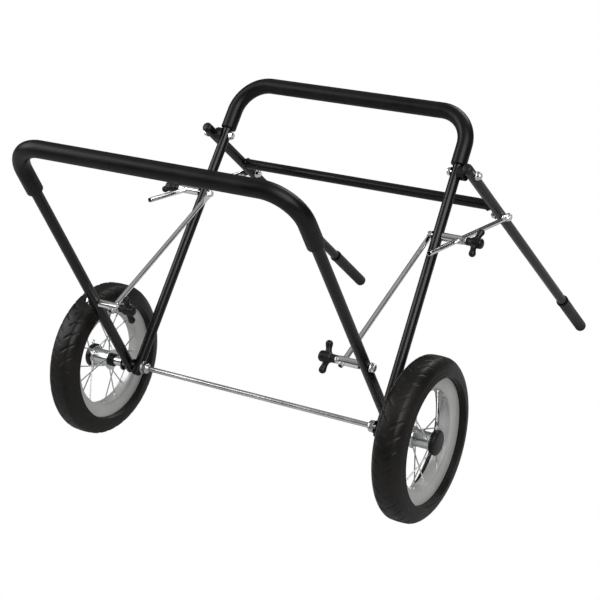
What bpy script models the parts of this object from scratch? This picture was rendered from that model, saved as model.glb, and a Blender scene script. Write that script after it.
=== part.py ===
"""Bass drum trolley.

Two padded tube hoops form a V on one axle, and the drum lies across their bars.
A welded frame with two gripped legs is the rear support and the push handle.
Telescopic rods with thumb-screw clamps hold the V and the support frame open.
X runs along the axle to the right, Y to the rear, Z up. The ground is Z = 0.
"""
import math

import bmesh
import bpy
from mathutils import Matrix, Vector

MM = 0.001

# Running and seating clearance
GAP = 0.3 * MM

# Frame tubes
TUBE_RADIUS = 10.0 * MM
TUBE_WALL = 1.5 * MM
TUBE_SIDES = 12
BEND_RADIUS = 65.0 * MM
BEND_STEPS = 5
LEG_END_BELOW_AXLE = 14.0 * MM
LEG_END_DOME = 4.0 * MM

# Foam sleeves on the two bars
FOAM_RADIUS = 15.2 * MM
FRONT_FOAM_END = 492.0 * MM
REAR_FOAM_END = 512.0 * MM

# Front hoop, measured from the axle along its own plane
FRONT_LEAN = math.radians(29.8)
FRONT_LENGTH = 602.5 * MM
FRONT_HALF_WIDTH_AXLE = 290.5 * MM
FRONT_HALF_WIDTH_TOP = 278.5 * MM

# Rear hoop
REAR_LEAN = math.radians(38.3)
REAR_LENGTH = 613.5 * MM
REAR_HALF_WIDTH_AXLE = 267.0 * MM
REAR_HALF_WIDTH_TOP = 252.5 * MM

# Support frame, hinged high on the rear hoop
SUPPORT_LEAN = math.radians(49.4)
SUPPORT_HALF_WIDTH = 286.4 * MM
SUPPORT_PIVOT = 496.5 * MM
SUPPORT_TOP_STUB = 25.0 * MM
CROSSBAR_FROM_PIVOT = 139.3 * MM
WELD_WIDTH = 3.5 * MM
WELD_RISE = 2.5 * MM
VENT_RADIUS = 2.0 * MM
GRIP_RADIUS = 12.5 * MM
GRIP_LENGTH = 168.0 * MM
GRIP_END_WALL = 5.0 * MM
GRIP_END_ROUND = 6.0 * MM
GRIP_LIP_LENGTH = 5.0 * MM
GRIP_LIP_HEIGHT = 0.8 * MM

# Rods, their pivots and their clamps
ROD_RADIUS = 4.75 * MM
ROD_WALL = 1.0 * MM
ROD_SIDES = 10
V_ROD_PIVOT = 370.0 * MM
V_ROD_LENGTH = 360.0 * MM
FRONT_CLAMP_PIVOT = 188.0 * MM
BRACE_PIVOT = 188.0 * MM
BRACE_LENGTH = 345.0 * MM
BRACE_OFFSET = 3.5 * MM
EYE_HALF_WIDTH = 7.25 * MM
EYE_HALF_THICKNESS = 1.5 * MM
EYE_FLAT_LENGTH = 20.0 * MM
EYE_TAPER_LENGTH = 16.0 * MM
CLAMP_RADIUS = 8.0 * MM
CLAMP_END_WALL = 8.4 * MM
CLAMP_CHAMFER = 0.8 * MM
CLAMP_SIDES = 12
STUD_DEPTH = 16.0 * MM

# Thumb screws
SCREW_RADIUS = 3.0 * MM
COLLAR_FLATS = 13.0 * MM
COLLAR_LENGTH = 6.0 * MM
KNOB_HUB_RADIUS = 10.0 * MM
KNOB_NECK_RADIUS = 7.5 * MM
KNOB_NECK_LENGTH = 8.0 * MM
KNOB_LENGTH = 33.0 * MM
KNOB_BORE_DEPTH = 15.0 * MM
LOBE_REACH = 23.0 * MM
LOBE_SLANT = 4.5 * MM
LOBE_END_RADIUS = 6.7 * MM
LOBE_WAIST_RADIUS = 5.4 * MM
LOBE_START = 20.0 * MM
FRONT_KNOB_TURN = {"left": math.radians(-16.0), "right": math.radians(31.0)}
REAR_KNOB_TURN = {"left": math.radians(94.0), "right": math.radians(51.0)}

# Bolts, nuts and washers
BOLT_RADIUS = 4.0 * MM
BOLT_FLATS = 13.0 * MM
BOLT_HEAD = 5.3 * MM
NUT_HEIGHT = 6.5 * MM
BOLT_TAIL = 2.0 * MM
SMALL_HEAD_FLATS = 11.0 * MM
SMALL_HEAD = 3.8 * MM
WASHER_RADIUS = 8.5 * MM
WASHER_THICKNESS = 1.6 * MM
SADDLE_RADIUS = 13.5 * MM
SADDLE_WRAP = 5.0 * MM
FASTENER_SIDES = 12

# Axle
AXLE_RADIUS = 6.0 * MM
AXLE_CENTRE_RADIUS = 5.0 * MM
AXLE_SIDES = 16
AXLE_NUT_FLATS = 19.0 * MM
AXLE_NUT_HEIGHT = 10.0 * MM
AXLE_WASHER_RADIUS = 12.0 * MM
HUB_SPACER_RADIUS = 9.0 * MM
OUTER_WASHER_RADIUS = 15.0 * MM
AXLE_GROOVE_RADIUS = 4.5 * MM
AXLE_GROOVE_WIDTH = 2.4 * MM
AXLE_TIP = 4.0 * MM

# Wheels
WHEEL_RADIUS = 150.0 * MM
WHEEL_CENTRE = 348.4 * MM
WHEEL_SIDES = 36
TYRE_HALF_WIDTH = 31.0 * MM
TYRE_HEIGHT = 37.0 * MM
TREAD_FLAT = 9.0 * MM
TYRE_ARC_STEPS = 4
RIM_EDGE_RADIUS = 116.0 * MM
RIM_HALF_WIDTH = 17.0 * MM
RIM_LIP_DEPTH = 14.5 * MM
RIM_LIP_SLOPE = 5.5 * MM
RIM_WELL_DEPTH = 4.0 * MM
RIM_WELL_HALF_WIDTH = 6.0 * MM
RIM_WALL = 2.0 * MM
SPOKES_PER_FLANGE = 8
SPOKE_RADIUS = 1.0 * MM
SPOKE_SET = 1.8 * MM
SPOKE_SIDES = 5
SPOKE_SWEEP = math.radians(36.0)
SPOKE_RIM_OFFSET = 3.0 * MM
NIPPLE_RADIUS = 2.0 * MM
NIPPLE_LENGTH = 9.0 * MM
HUB_SIDES = 16
HUB_LENGTH = 41.0 * MM
HUB_INNER_END = 17.0 * MM
HUB_BARREL_RADIUS = 15.5 * MM
HUB_FLANGE_RADIUS = 20.0 * MM
HUB_FLANGE_WIDTH = 2.6 * MM
HUB_BORE_RADIUS = 10.5 * MM
BUSH_FLANGE_RADIUS = 12.5 * MM
INNER_BUSH_FLANGE = 8.5 * MM
CAP_RADIUS = 23.0 * MM
CAP_LENGTH = 11.5 * MM
CAP_WALL = 4.5 * MM
CAP_END_WALL = 1.8 * MM
CAP_DOME = 4.0 * MM
LATCH_THICKNESS = 1.6 * MM
LATCH_HALF_WIDTH = 8.5 * MM
LATCH_TRAVEL = 4.0 * MM
LATCH_RIM = 2.2 * MM
LATCH_SHOULDER = 10.8 * MM
LATCH_EYE_CENTRE = 28.5 * MM
LATCH_EYE_RADIUS = 4.4 * MM
LATCH_EYE_BORE = 2.2 * MM
LATCH_NECK_HALF_WIDTH = 2.8 * MM

SIDES = {"left": -1.0, "right": 1.0}
X_AXIS = Vector((1.0, 0.0, 0.0))
AXLE = Vector((0.0, 0.0, WHEEL_RADIUS))
FRONT_DIRECTION = Vector((0.0, -math.sin(FRONT_LEAN), math.cos(FRONT_LEAN)))
REAR_DIRECTION = Vector((0.0, math.sin(REAR_LEAN), math.cos(REAR_LEAN)))
SUPPORT_DIRECTION = Vector((0.0, math.sin(SUPPORT_LEAN), -math.cos(SUPPORT_LEAN)))

# Joint axes, as points in the plane X = 0
SUPPORT_AXIS = AXLE + REAR_DIRECTION * SUPPORT_PIVOT
V_ROD_AXIS = AXLE + REAR_DIRECTION * V_ROD_PIVOT
FRONT_CLAMP_AXIS = AXLE + FRONT_DIRECTION * FRONT_CLAMP_PIVOT
BRACE_AXIS = SUPPORT_AXIS + SUPPORT_DIRECTION * BRACE_PIVOT
REAR_CLAMP_AXIS = V_ROD_AXIS


def front_half_width(distance):
    """Half the distance between the front legs, at a distance from the axle."""
    slope = (FRONT_HALF_WIDTH_TOP - FRONT_HALF_WIDTH_AXLE) / FRONT_LENGTH
    return FRONT_HALF_WIDTH_AXLE + slope * distance


def rear_half_width(distance):
    """Half the distance between the rear legs, at a distance from the axle."""
    slope = (REAR_HALF_WIDTH_TOP - REAR_HALF_WIDTH_AXLE) / REAR_LENGTH
    return REAR_HALF_WIDTH_AXLE + slope * distance


# Planes of the rods, worked out from the faces that their eyes lie against
V_ROD_X = (rear_half_width(V_ROD_PIVOT) - TUBE_RADIUS - 2.0 * GAP
           - WASHER_THICKNESS - EYE_HALF_THICKNESS)
BRACE_EYE_X = SUPPORT_HALF_WIDTH + TUBE_RADIUS + GAP + EYE_HALF_THICKNESS
BRACE_X = BRACE_EYE_X + BRACE_OFFSET

# Stations along the axle, from the middle outwards
NUT_START = REAR_HALF_WIDTH_AXLE - TUBE_RADIUS - GAP - WASHER_THICKNESS - AXLE_NUT_HEIGHT
HUB_SPACER_START = FRONT_HALF_WIDTH_AXLE + TUBE_RADIUS + GAP
HUB_START = WHEEL_CENTRE - HUB_INNER_END
HUB_END = HUB_START + HUB_LENGTH
BUSH_START = HUB_START - GAP - INNER_BUSH_FLANGE
CAP_START = HUB_END + GAP
LATCH_START = CAP_START + 3.0 * MM
AXLE_END = LATCH_START + LATCH_THICKNESS + AXLE_TIP


def clear_scene():
    """Remove every object of the open scene."""
    for item in list(bpy.data.objects):
        bpy.data.objects.remove(item, do_unlink=True)


def material(name, colour, roughness, metallic=0.0):
    """A plain Principled material."""
    made = bpy.data.materials.get(name) or bpy.data.materials.new(name)
    made.use_nodes = True
    shader = made.node_tree.nodes["Principled BSDF"]
    shader.inputs["Base Color"].default_value = (*colour, 1.0)
    shader.inputs["Roughness"].default_value = roughness
    shader.inputs["Metallic"].default_value = metallic
    return made


def black_coat():
    return material("black_powder_coat", (0.018, 0.018, 0.019), 0.42)


def black_foam():
    return material("black_foam", (0.022, 0.022, 0.023), 0.6)


def black_plastic():
    return material("black_plastic", (0.015, 0.015, 0.016), 0.45)


def black_rubber():
    return material("black_rubber", (0.028, 0.026, 0.024), 0.7)


def chrome():
    return material("chrome", (0.78, 0.79, 0.8), 0.12, 1.0)


def zinc():
    return material("zinc_plate", (0.66, 0.69, 0.69), 0.3, 1.0)


def rim_silver():
    return material("rim_silver", (0.62, 0.62, 0.61), 0.38, 0.6)


def hub_silver():
    return material("hub_silver", (0.6, 0.6, 0.59), 0.3, 0.9)


def make_object(name, mesh_builder, finish):
    """Turn a finished bmesh into a named object with its material."""
    bmesh.ops.remove_doubles(mesh_builder, verts=mesh_builder.verts, dist=1e-7)
    bmesh.ops.recalc_face_normals(mesh_builder, faces=mesh_builder.faces)
    data = bpy.data.meshes.new(name)
    mesh_builder.to_mesh(data)
    mesh_builder.free()
    data.materials.append(finish)
    data.shade_smooth()
    data.set_sharp_from_angle(angle=math.radians(35.0))
    made = bpy.data.objects.new(name, data)
    bpy.context.scene.collection.objects.link(made)
    return made


def skin(mesh_builder, rings, closed=False):
    """Join rings of points with quads; open ends get a flat face."""
    loops = [[mesh_builder.verts.new(point) for point in ring] for ring in rings]
    pairs = list(zip(loops[:-1], loops[1:]))
    if closed:
        pairs.append((loops[-1], loops[0]))
    for low, high in pairs:
        count = len(low)
        for index in range(count):
            after = (index + 1) % count
            mesh_builder.faces.new((low[index], low[after], high[after], high[index]))
    if not closed:
        mesh_builder.faces.new(loops[0])
        mesh_builder.faces.new(loops[-1])


def ring_angles(sides, phase=0.5):
    """Evenly spaced angles, a facet facing along the first axis by default."""
    return [2.0 * math.pi * (index + phase) / sides for index in range(sides)]


def round_ring(x, radius, sides, phase=0.5):
    """A circle of points round the X axis."""
    return [Vector((x, radius * math.cos(angle), radius * math.sin(angle)))
            for angle in ring_angles(sides, phase)]


def hex_ring(x, flats, sides):
    """A hexagon of points round the X axis, given across its flats."""
    sixth = math.pi / 3.0
    points = []
    for angle in ring_angles(sides, 0.0):
        from_flat = (angle % sixth) - sixth / 2.0
        reach = flats / 2.0 / math.cos(from_flat)
        points.append(Vector((x, reach * math.cos(angle), reach * math.sin(angle))))
    return points


def swept_ring(centre, across, up, radius, sides):
    """A circle of points in the plane of two unit vectors."""
    return [centre + across * (radius * math.cos(angle)) + up * (radius * math.sin(angle))
            for angle in ring_angles(sides)]


def turned(name, stations, finish, sides, closed=False, side=1.0, at=(0.0, 0.0, 0.0)):
    """A turned piece on an axis along X; stations are (x, radius)."""
    builder = bmesh.new()
    skin(builder, [round_ring(side * x, radius, sides) for x, radius in stations], closed)
    made = make_object(name, builder, finish)
    made.location = at
    return made


def place_rings(name, rings, finish, at, body, closed=False):
    """Make a piece from rings round the X axis and carry it on a body."""
    builder = bmesh.new()
    skin(builder, rings, closed)
    made = make_object(name, builder, finish)
    made.location = at
    return attach(made, body)


def make_bolt(name, axis, side, start, head, flange, end, flats, body):
    """A hexagon bolt on an axis along X: head, flange or washer face, then shank."""
    sides = FASTENER_SIDES
    under = start + head
    seat = under + flange
    rings = [hex_ring(side * start, flats, sides), hex_ring(side * under, flats, sides)]
    if flange:
        rings += [round_ring(side * under, WASHER_RADIUS, sides, 0.0),
                  round_ring(side * seat, WASHER_RADIUS, sides, 0.0)]
    rings += [round_ring(side * seat, BOLT_RADIUS, sides, 0.0),
              round_ring(side * end, BOLT_RADIUS, sides, 0.0)]
    return place_rings(name, rings, chrome(), axis, body)


def make_nut(name, axis, side, start, height, flange, flats, bore, finish, body):
    """A flanged hexagon nut with a plain bore; the flange faces side * start."""
    sides = FASTENER_SIDES
    wide = max(WASHER_RADIUS, 0.63 * flats)
    face = start + flange
    rings = [round_ring(side * start, wide, sides, 0.0), round_ring(side * face, wide, sides, 0.0),
             hex_ring(side * face, flats, sides), hex_ring(side * (start + height), flats, sides),
             round_ring(side * (start + height), bore, sides, 0.0),
             round_ring(side * start, bore, sides, 0.0)]
    return place_rings(name, rings, finish, axis, body, closed=True)


def make_ring(name, axis, side, start, thickness, radius, bore, finish, body, sides=CLAMP_SIDES):
    """A flat ring or a short sleeve on an axis along X."""
    stations = [(start, bore), (start, radius), (start + thickness, radius),
                (start + thickness, bore)]
    rings = [round_ring(side * x, reach, sides) for x, reach in stations]
    return place_rings(name, rings, finish, axis, body, closed=True)


def bore_cutter(centre, direction, radius, length, sides=AXLE_SIDES):
    """A temporary cylinder for cutting a hole through a point."""
    along = Vector(direction).normalized()
    across = along.orthogonal().normalized()
    up = along.cross(across)
    builder = bmesh.new()
    ends = [Vector(centre) - along * length / 2.0, Vector(centre) + along * length / 2.0]
    skin(builder, [swept_ring(end, across, up, radius, sides) for end in ends])
    return make_object("cutter", builder, black_coat())


def box_cutter(centre, size):
    """A temporary box for cutting a notch."""
    builder = bmesh.new()
    bmesh.ops.create_cube(builder, size=1.0)
    bmesh.ops.scale(builder, vec=Vector(size), verts=builder.verts)
    bmesh.ops.translate(builder, vec=Vector(centre), verts=builder.verts)
    return make_object("cutter", builder, black_coat())


def combine(target, tool, operation):
    """Apply an exact Boolean with a temporary piece, then remove the piece."""
    modifier = target.modifiers.new("combine", "BOOLEAN")
    modifier.object = tool
    modifier.operation = operation
    modifier.solver = "EXACT"
    bpy.context.view_layer.update()
    depsgraph = bpy.context.evaluated_depsgraph_get()
    result = bpy.data.meshes.new_from_object(target.evaluated_get(depsgraph))
    target.modifiers.clear()
    target.data = result
    result.name = target.name
    bpy.data.objects.remove(tool, do_unlink=True)


def cut_holes(target, axes, radius, half_length):
    """Cut holes along X through both legs at each of the given axis points."""
    for axis in axes:
        combine(target, bore_cutter(axis, X_AXIS, radius, 2.0 * half_length), "DIFFERENCE")


def pivot(name, location, parent=None):
    """An empty on a joint's axis that carries the pieces of one moving body."""
    made = bpy.data.objects.new(name, None)
    made.empty_display_size = 0.03
    bpy.context.scene.collection.objects.link(made)
    made.parent = parent
    place = Vector(location)
    made.location = place - world_place(parent)
    return made


def world_place(item):
    """World position of an unrotated empty, through its parents."""
    place = Vector()
    while item is not None:
        place += item.location
        item = item.parent
    return place


def attach(made, parent):
    """Parent a piece to its pivot and move its origin onto the pivot."""
    origin = world_place(parent)
    made.data.transform(Matrix.Translation(Vector(made.location) - origin))
    made.location = Vector()
    made.parent = parent
    return made


def hoop_path(half_axle, half_top, length, leg_end):
    """Points and tangents of a hoop's centre line in its own plane.

    The first coordinate runs along X, the second from the axle to the bar.
    leg_end is where both legs stop, measured from the axle.
    """
    slope = (half_top - half_axle) / length
    leg = Vector((slope, 1.0)).normalized()
    turn = math.acos(-leg.x)
    tangent_length = BEND_RADIUS * math.tan(turn / 2.0)
    corner = Vector((half_top, length))
    arc_start = corner - leg * tangent_length
    centre = arc_start + Vector((-leg.y, leg.x)) * BEND_RADIUS
    start = Vector((half_axle + slope * leg_end, leg_end))
    half = [(start, leg)]
    for step in range(BEND_STEPS + 1):
        angle = turn * step / BEND_STEPS
        tangent = Vector((leg.x * math.cos(angle) - leg.y * math.sin(angle),
                          leg.x * math.sin(angle) + leg.y * math.cos(angle)))
        outward = Vector((tangent.y, -tangent.x))
        half.append((centre + outward * BEND_RADIUS, tangent))
    mirrored = [(Vector((-point.x, point.y)), Vector((tangent.x, -tangent.y)))
                for point, tangent in reversed(half)]
    return half + mirrored


def hoop_rings(path, direction, radii):
    """Rings of a round tube along a hoop path that lies in a leaning plane."""
    normal = X_AXIS.cross(direction)
    rings = []
    for (point, tangent), radius in zip(path, radii):
        centre = AXLE + X_AXIS * point.x + direction * point.y
        outward = X_AXIS * tangent.y - direction * tangent.x
        rings.append(swept_ring(centre, outward, normal, radius, TUBE_SIDES))
    return rings


def hoop_sleeve(name, path, direction, outer, inner, finish):
    """A hollow sleeve along a hoop path, open at both ends."""
    builder = bmesh.new()
    outside = hoop_rings(path, direction, [outer] * len(path))
    inside = hoop_rings(path, direction, [inner] * len(path))
    skin(builder, outside + inside[::-1], closed=True)
    return make_object(name, builder, finish)


def hoop_bar(name, path, direction, radii):
    """A solid bar along a hoop path, with a radius for each of its points."""
    builder = bmesh.new()
    skin(builder, hoop_rings(path, direction, radii))
    return make_object(name, builder, black_coat())


def extended(path, reaches):
    """A hoop path with more points beyond its two ends, farthest reach first."""
    first, tangent = path[0]
    last, back = path[-1]
    before = [(first - tangent * reach, tangent) for reach in reaches]
    after = [(last + back * reach, back) for reach in reversed(reaches)]
    return before + path + after


def make_hoop(name, size, direction, body, hole_axes):
    """A bent tube hoop with domed ends, its axle holes and its bolt holes."""
    path = hoop_path(*size, -LEG_END_BELOW_AXLE)
    reaches = [LEG_END_DOME, 0.6 * LEG_END_DOME]
    dome = [0.45 * TUBE_RADIUS, 0.86 * TUBE_RADIUS]
    hoop = hoop_bar(name, extended(path, reaches), direction,
                    dome + [TUBE_RADIUS] * len(path) + dome[::-1])
    core = hoop_path(*size, TUBE_WALL - LEG_END_BELOW_AXLE)
    combine(hoop, hoop_bar("core", core, direction, [TUBE_RADIUS - TUBE_WALL] * len(core)),
            "DIFFERENCE")
    span = FRONT_HALF_WIDTH_AXLE + 2.0 * TUBE_RADIUS
    cut_holes(hoop, [AXLE], AXLE_RADIUS + GAP, span)
    cut_holes(hoop, hole_axes, BOLT_RADIUS + GAP, span)
    return attach(hoop, body)


def make_foam(name, size, direction, foam_end, body):
    """The foam sleeve over a hoop's bar and bends."""
    path = hoop_path(*size, foam_end)
    sleeve = hoop_sleeve(name, path, direction, FOAM_RADIUS, TUBE_RADIUS + GAP, black_foam())
    return attach(sleeve, body)


def add_tube_plug(builder, end, direction, outward_length, insert_length):
    """A domed plug in an open tube end; direction points out of the tube."""
    across = X_AXIS
    up = direction.cross(across)
    insert = TUBE_RADIUS - TUBE_WALL - GAP
    stations = [(-insert_length, insert), (GAP, insert), (GAP, TUBE_RADIUS),
                (GAP + 0.45 * outward_length, 0.9 * TUBE_RADIUS),
                (GAP + outward_length, 0.45 * TUBE_RADIUS)]
    rings = [swept_ring(end + direction * along, across, up, radius, TUBE_SIDES)
             for along, radius in stations]
    skin(builder, rings)


def grip_outline():
    """Outer outline of a grip as (distance from its open end, radius)."""
    stations = [(0.0, GRIP_RADIUS + GRIP_LIP_HEIGHT),
                (GRIP_LIP_LENGTH, GRIP_RADIUS + GRIP_LIP_HEIGHT),
                (GRIP_LIP_LENGTH + 1.0 * MM, GRIP_RADIUS)]
    for step in range(4):
        angle = math.radians(30.0 * step)
        stations.append((GRIP_LENGTH - GRIP_END_ROUND * (1.0 - math.sin(angle)),
                         GRIP_RADIUS - GRIP_END_ROUND * (1.0 - math.cos(angle))))
    return stations


def grip_start():
    """Distance from the support pivot to the open end of a grip resting on the ground."""
    drop = max(along * math.cos(SUPPORT_LEAN) + radius * math.sin(SUPPORT_LEAN)
               for along, radius in grip_outline())
    return (SUPPORT_AXIS.z - drop) / math.cos(SUPPORT_LEAN)


def support_leg_end():
    """Distance from the support pivot to the lower end of a support leg."""
    return grip_start() + GRIP_LENGTH - GRIP_END_WALL - GAP


def leg_solid(x, start, end, radius):
    """A plain round bar along a support leg."""
    up = SUPPORT_DIRECTION.cross(X_AXIS)
    builder = bmesh.new()
    rings = []
    for along in (start, end):
        centre = SUPPORT_AXIS + X_AXIS * x + SUPPORT_DIRECTION * along
        rings.append(swept_ring(centre, up, X_AXIS, radius, TUBE_SIDES))
    skin(builder, rings)
    return make_object("leg", builder, black_coat())


def crossbar_stations():
    """Half of the crossbar's outline, flared into its welds at the legs."""
    root = SUPPORT_HALF_WIDTH - 0.4 * TUBE_RADIUS
    face = SUPPORT_HALF_WIDTH - TUBE_RADIUS
    half = [(root, TUBE_RADIUS), (face + 0.5 * MM, TUBE_RADIUS + WELD_RISE),
            (face - WELD_WIDTH, TUBE_RADIUS)]
    return [(-x, radius) for x, radius in half] + half[::-1]


def make_support_frame(body):
    """Two legs and a crossbar, welded into one H-shaped frame."""
    bore = TUBE_RADIUS - TUBE_WALL
    centre = SUPPORT_AXIS + SUPPORT_DIRECTION * CROSSBAR_FROM_PIVOT
    frame = turned("support_frame", crossbar_stations(), black_coat(), TUBE_SIDES, at=centre)
    for side in SIDES.values():
        x = side * SUPPORT_HALF_WIDTH
        combine(frame, leg_solid(x, -SUPPORT_TOP_STUB, support_leg_end(), TUBE_RADIUS), "UNION")
    for side in SIDES.values():
        x = side * SUPPORT_HALF_WIDTH
        beyond = support_leg_end() + TUBE_RADIUS
        combine(frame, leg_solid(x, -SUPPORT_TOP_STUB - TUBE_RADIUS, beyond, bore), "DIFFERENCE")
    hollow = 2.0 * (SUPPORT_HALF_WIDTH - TUBE_RADIUS - 1.0 * MM)
    combine(frame, bore_cutter(centre, X_AXIS, bore, hollow, TUBE_SIDES), "DIFFERENCE")
    vented = 2.0 * SUPPORT_HALF_WIDTH
    combine(frame, bore_cutter(centre, X_AXIS, VENT_RADIUS, vented, 8), "DIFFERENCE")
    span = SUPPORT_HALF_WIDTH + 2.0 * TUBE_RADIUS
    cut_holes(frame, [SUPPORT_AXIS, BRACE_AXIS], BOLT_RADIUS + GAP, span)
    return attach(frame, body)


def make_grip(name, side, body):
    """A rubber grip that closes the lower end of a support leg."""
    up = SUPPORT_DIRECTION.cross(X_AXIS)
    start = SUPPORT_AXIS + X_AXIS * side * SUPPORT_HALF_WIDTH + SUPPORT_DIRECTION * grip_start()
    stations = [(GRIP_LENGTH - GRIP_END_WALL, TUBE_RADIUS + GAP), (0.0, TUBE_RADIUS + GAP)]
    stations += grip_outline()
    builder = bmesh.new()
    skin(builder, [swept_ring(start + SUPPORT_DIRECTION * along, up, X_AXIS, radius, TUBE_SIDES)
                   for along, radius in stations])
    return attach(make_object(name, builder, black_rubber()), body)


def make_leg_plug(name, side, body):
    """The domed plug in the upper end of a support leg."""
    end = SUPPORT_AXIS + X_AXIS * side * SUPPORT_HALF_WIDTH
    end = end - SUPPORT_DIRECTION * SUPPORT_TOP_STUB
    builder = bmesh.new()
    add_tube_plug(builder, end, -SUPPORT_DIRECTION, 6.0 * MM, 9.0 * MM)
    return attach(make_object(name, builder, black_plastic()), body)


def flat_ring(centre, across, half_width, half_thickness, sides):
    """A rounded slot of points: a circle pulled apart along across."""
    points = []
    for angle in ring_angles(sides):
        shift = math.copysign(half_width - half_thickness, math.cos(angle))
        wide = shift + half_thickness * math.cos(angle)
        points.append(centre + across * wide + X_AXIS * (half_thickness * math.sin(angle)))
    return points


def rod_outline(length):
    """Outer and inner sections of a rod as (distance, half width, half thickness)."""
    width, thin = EYE_HALF_WIDTH, EYE_HALF_THICKNESS
    taper_end = EYE_FLAT_LENGTH + EYE_TAPER_LENGTH
    middle = 0.5 * (EYE_FLAT_LENGTH + taper_end)
    middle_width = 0.5 * (width + ROD_RADIUS)
    bore = ROD_RADIUS - ROD_WALL
    outside = []
    for angle in (75.0, 50.0, 25.0, 0.0):
        turn = math.radians(angle)
        outside.append((-width * math.sin(turn), max(width * math.cos(turn), thin), thin))
    outside += [(EYE_FLAT_LENGTH, width, thin),
                (middle, middle_width, 0.5 * (thin + ROD_RADIUS)),
                (taper_end, ROD_RADIUS, ROD_RADIUS), (length, ROD_RADIUS, ROD_RADIUS)]
    inside = [(length, bore, bore), (taper_end, bore, bore),
              (middle, middle_width - ROD_WALL, 0.5 * thin)]
    return outside, inside


def make_rod(name, eye, towards, eye_x, tube_x, length, body):
    """A chromed tube with one end pressed flat into an eye.

    eye is the pivot point and towards the clamp point, both in the plane X = 0.
    The flat end lies in the plane eye_x and the tube's axis in the plane tube_x.
    """
    along = (towards - eye).normalized()
    across = along.cross(X_AXIS)
    outside, inside = rod_outline(length)
    rings = []
    for distance, wide, thick in outside + inside:
        share = min(max((distance - EYE_FLAT_LENGTH) / EYE_TAPER_LENGTH, 0.0), 1.0)
        x = eye_x + (tube_x - eye_x) * share
        rings.append(flat_ring(eye + X_AXIS * x + along * distance, across, wide, thick,
                               ROD_SIDES))
    builder = bmesh.new()
    skin(builder, rings)
    rod = make_object(name, builder, chrome())
    hole = bore_cutter(eye + X_AXIS * eye_x, X_AXIS, BOLT_RADIUS + GAP,
                       4.0 * EYE_HALF_WIDTH, FASTENER_SIDES)
    combine(rod, hole, "DIFFERENCE")
    return attach(rod, body)


def make_clamp(name, seat, rod_x, axis, towards, outward, body):
    """A turned clamp body on a leg, cross-drilled for its rod.

    seat is the X of the leg's face, rod_x the X of the rod, and outward the way
    from the leg to the thumb screw, each on the same side of the trolley.
    """
    base = seat + outward * GAP
    hole = abs(rod_x - base)
    length = hole + CLAMP_END_WALL
    small = CLAMP_RADIUS - CLAMP_CHAMFER
    stations = [(STUD_DEPTH, BOLT_RADIUS + GAP), (0.0, BOLT_RADIUS + GAP), (0.0, small),
                (CLAMP_CHAMFER, CLAMP_RADIUS), (length - CLAMP_CHAMFER, CLAMP_RADIUS),
                (length, small), (length, SCREW_RADIUS + GAP), (hole, SCREW_RADIUS + GAP)]
    clamp = turned(name, stations, chrome(), CLAMP_SIDES, side=outward,
                   at=axis + X_AXIS * base)
    cross = bore_cutter(axis + X_AXIS * rod_x, towards - axis, ROD_RADIUS + GAP,
                        4.0 * CLAMP_RADIUS, CLAMP_SIDES)
    combine(clamp, cross, "DIFFERENCE")
    attach(clamp, body)
    return base + outward * length


def make_screw(name, end, rod_x, axis, outward, body):
    """The thumb screw's steel shank and collar, from the rod into the knob."""
    tip = abs(end - rod_x) - ROD_RADIUS - GAP
    sides = FASTENER_SIDES
    collar_start = GAP
    collar_end = collar_start + COLLAR_LENGTH
    shank_end = collar_end + GAP + KNOB_BORE_DEPTH - GAP
    rings = [round_ring(-outward * tip, SCREW_RADIUS, sides, 0.0),
             round_ring(outward * collar_start, SCREW_RADIUS, sides, 0.0),
             hex_ring(outward * collar_start, COLLAR_FLATS, sides),
             hex_ring(outward * collar_end, COLLAR_FLATS, sides),
             round_ring(outward * collar_end, SCREW_RADIUS, sides, 0.0),
             round_ring(outward * shank_end, SCREW_RADIUS, sides, 0.0)]
    builder = bmesh.new()
    skin(builder, rings)
    screw = make_object(name, builder, zinc())
    screw.location = axis + X_AXIS * end
    attach(screw, body)
    return end + outward * (collar_end + GAP)


def knob_mesh():
    """The moulded knob: a turned hub with two lobes that slant outwards."""
    shoulder = KNOB_NECK_LENGTH + 4.0 * MM
    hub = [(0.0, KNOB_NECK_RADIUS), (KNOB_NECK_LENGTH, KNOB_NECK_RADIUS),
           (shoulder, KNOB_HUB_RADIUS),
           (KNOB_LENGTH - 5.0 * MM, KNOB_HUB_RADIUS),
           (KNOB_LENGTH - 1.5 * MM, 0.8 * KNOB_HUB_RADIUS),
           (KNOB_LENGTH, 0.45 * KNOB_HUB_RADIUS)]
    knob = turned("knob", hub, black_plastic(), CLAMP_SIDES)
    for way in (-1.0, 1.0):
        combine(knob, knob_lobe(way), "UNION")
    combine(knob, bore_cutter(Vector(), X_AXIS, SCREW_RADIUS + GAP,
                              2.0 * KNOB_BORE_DEPTH, FASTENER_SIDES), "DIFFERENCE")
    data = knob.data
    data.shade_smooth()
    data.set_sharp_from_angle(angle=math.radians(35.0))
    bpy.data.objects.remove(knob, do_unlink=True)
    return data


def knob_lobe(way):
    """One lobe, waisted and round-ended, along way * Z."""
    root = Vector((LOBE_START - LOBE_SLANT, 0.0, 0.0))
    end = Vector((LOBE_START, 0.0, way * LOBE_REACH))
    along = (end - root).normalized()
    across = Vector((0.0, 1.0, 0.0))
    up = along.cross(across)
    reach = (end - root).length
    stations = [(0.0, LOBE_END_RADIUS), (0.5 * reach, LOBE_WAIST_RADIUS),
                (0.72 * reach, 1.04 * LOBE_WAIST_RADIUS), (reach, LOBE_END_RADIUS)]
    for angle in (35.0, 65.0):
        stations.append((reach + LOBE_END_RADIUS * math.sin(math.radians(angle)),
                         LOBE_END_RADIUS * math.cos(math.radians(angle))))
    builder = bmesh.new()
    skin(builder, [swept_ring(root + along * distance, across, up, radius, 10)
                   for distance, radius in stations])
    return make_object("lobe", builder, black_plastic())


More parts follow.
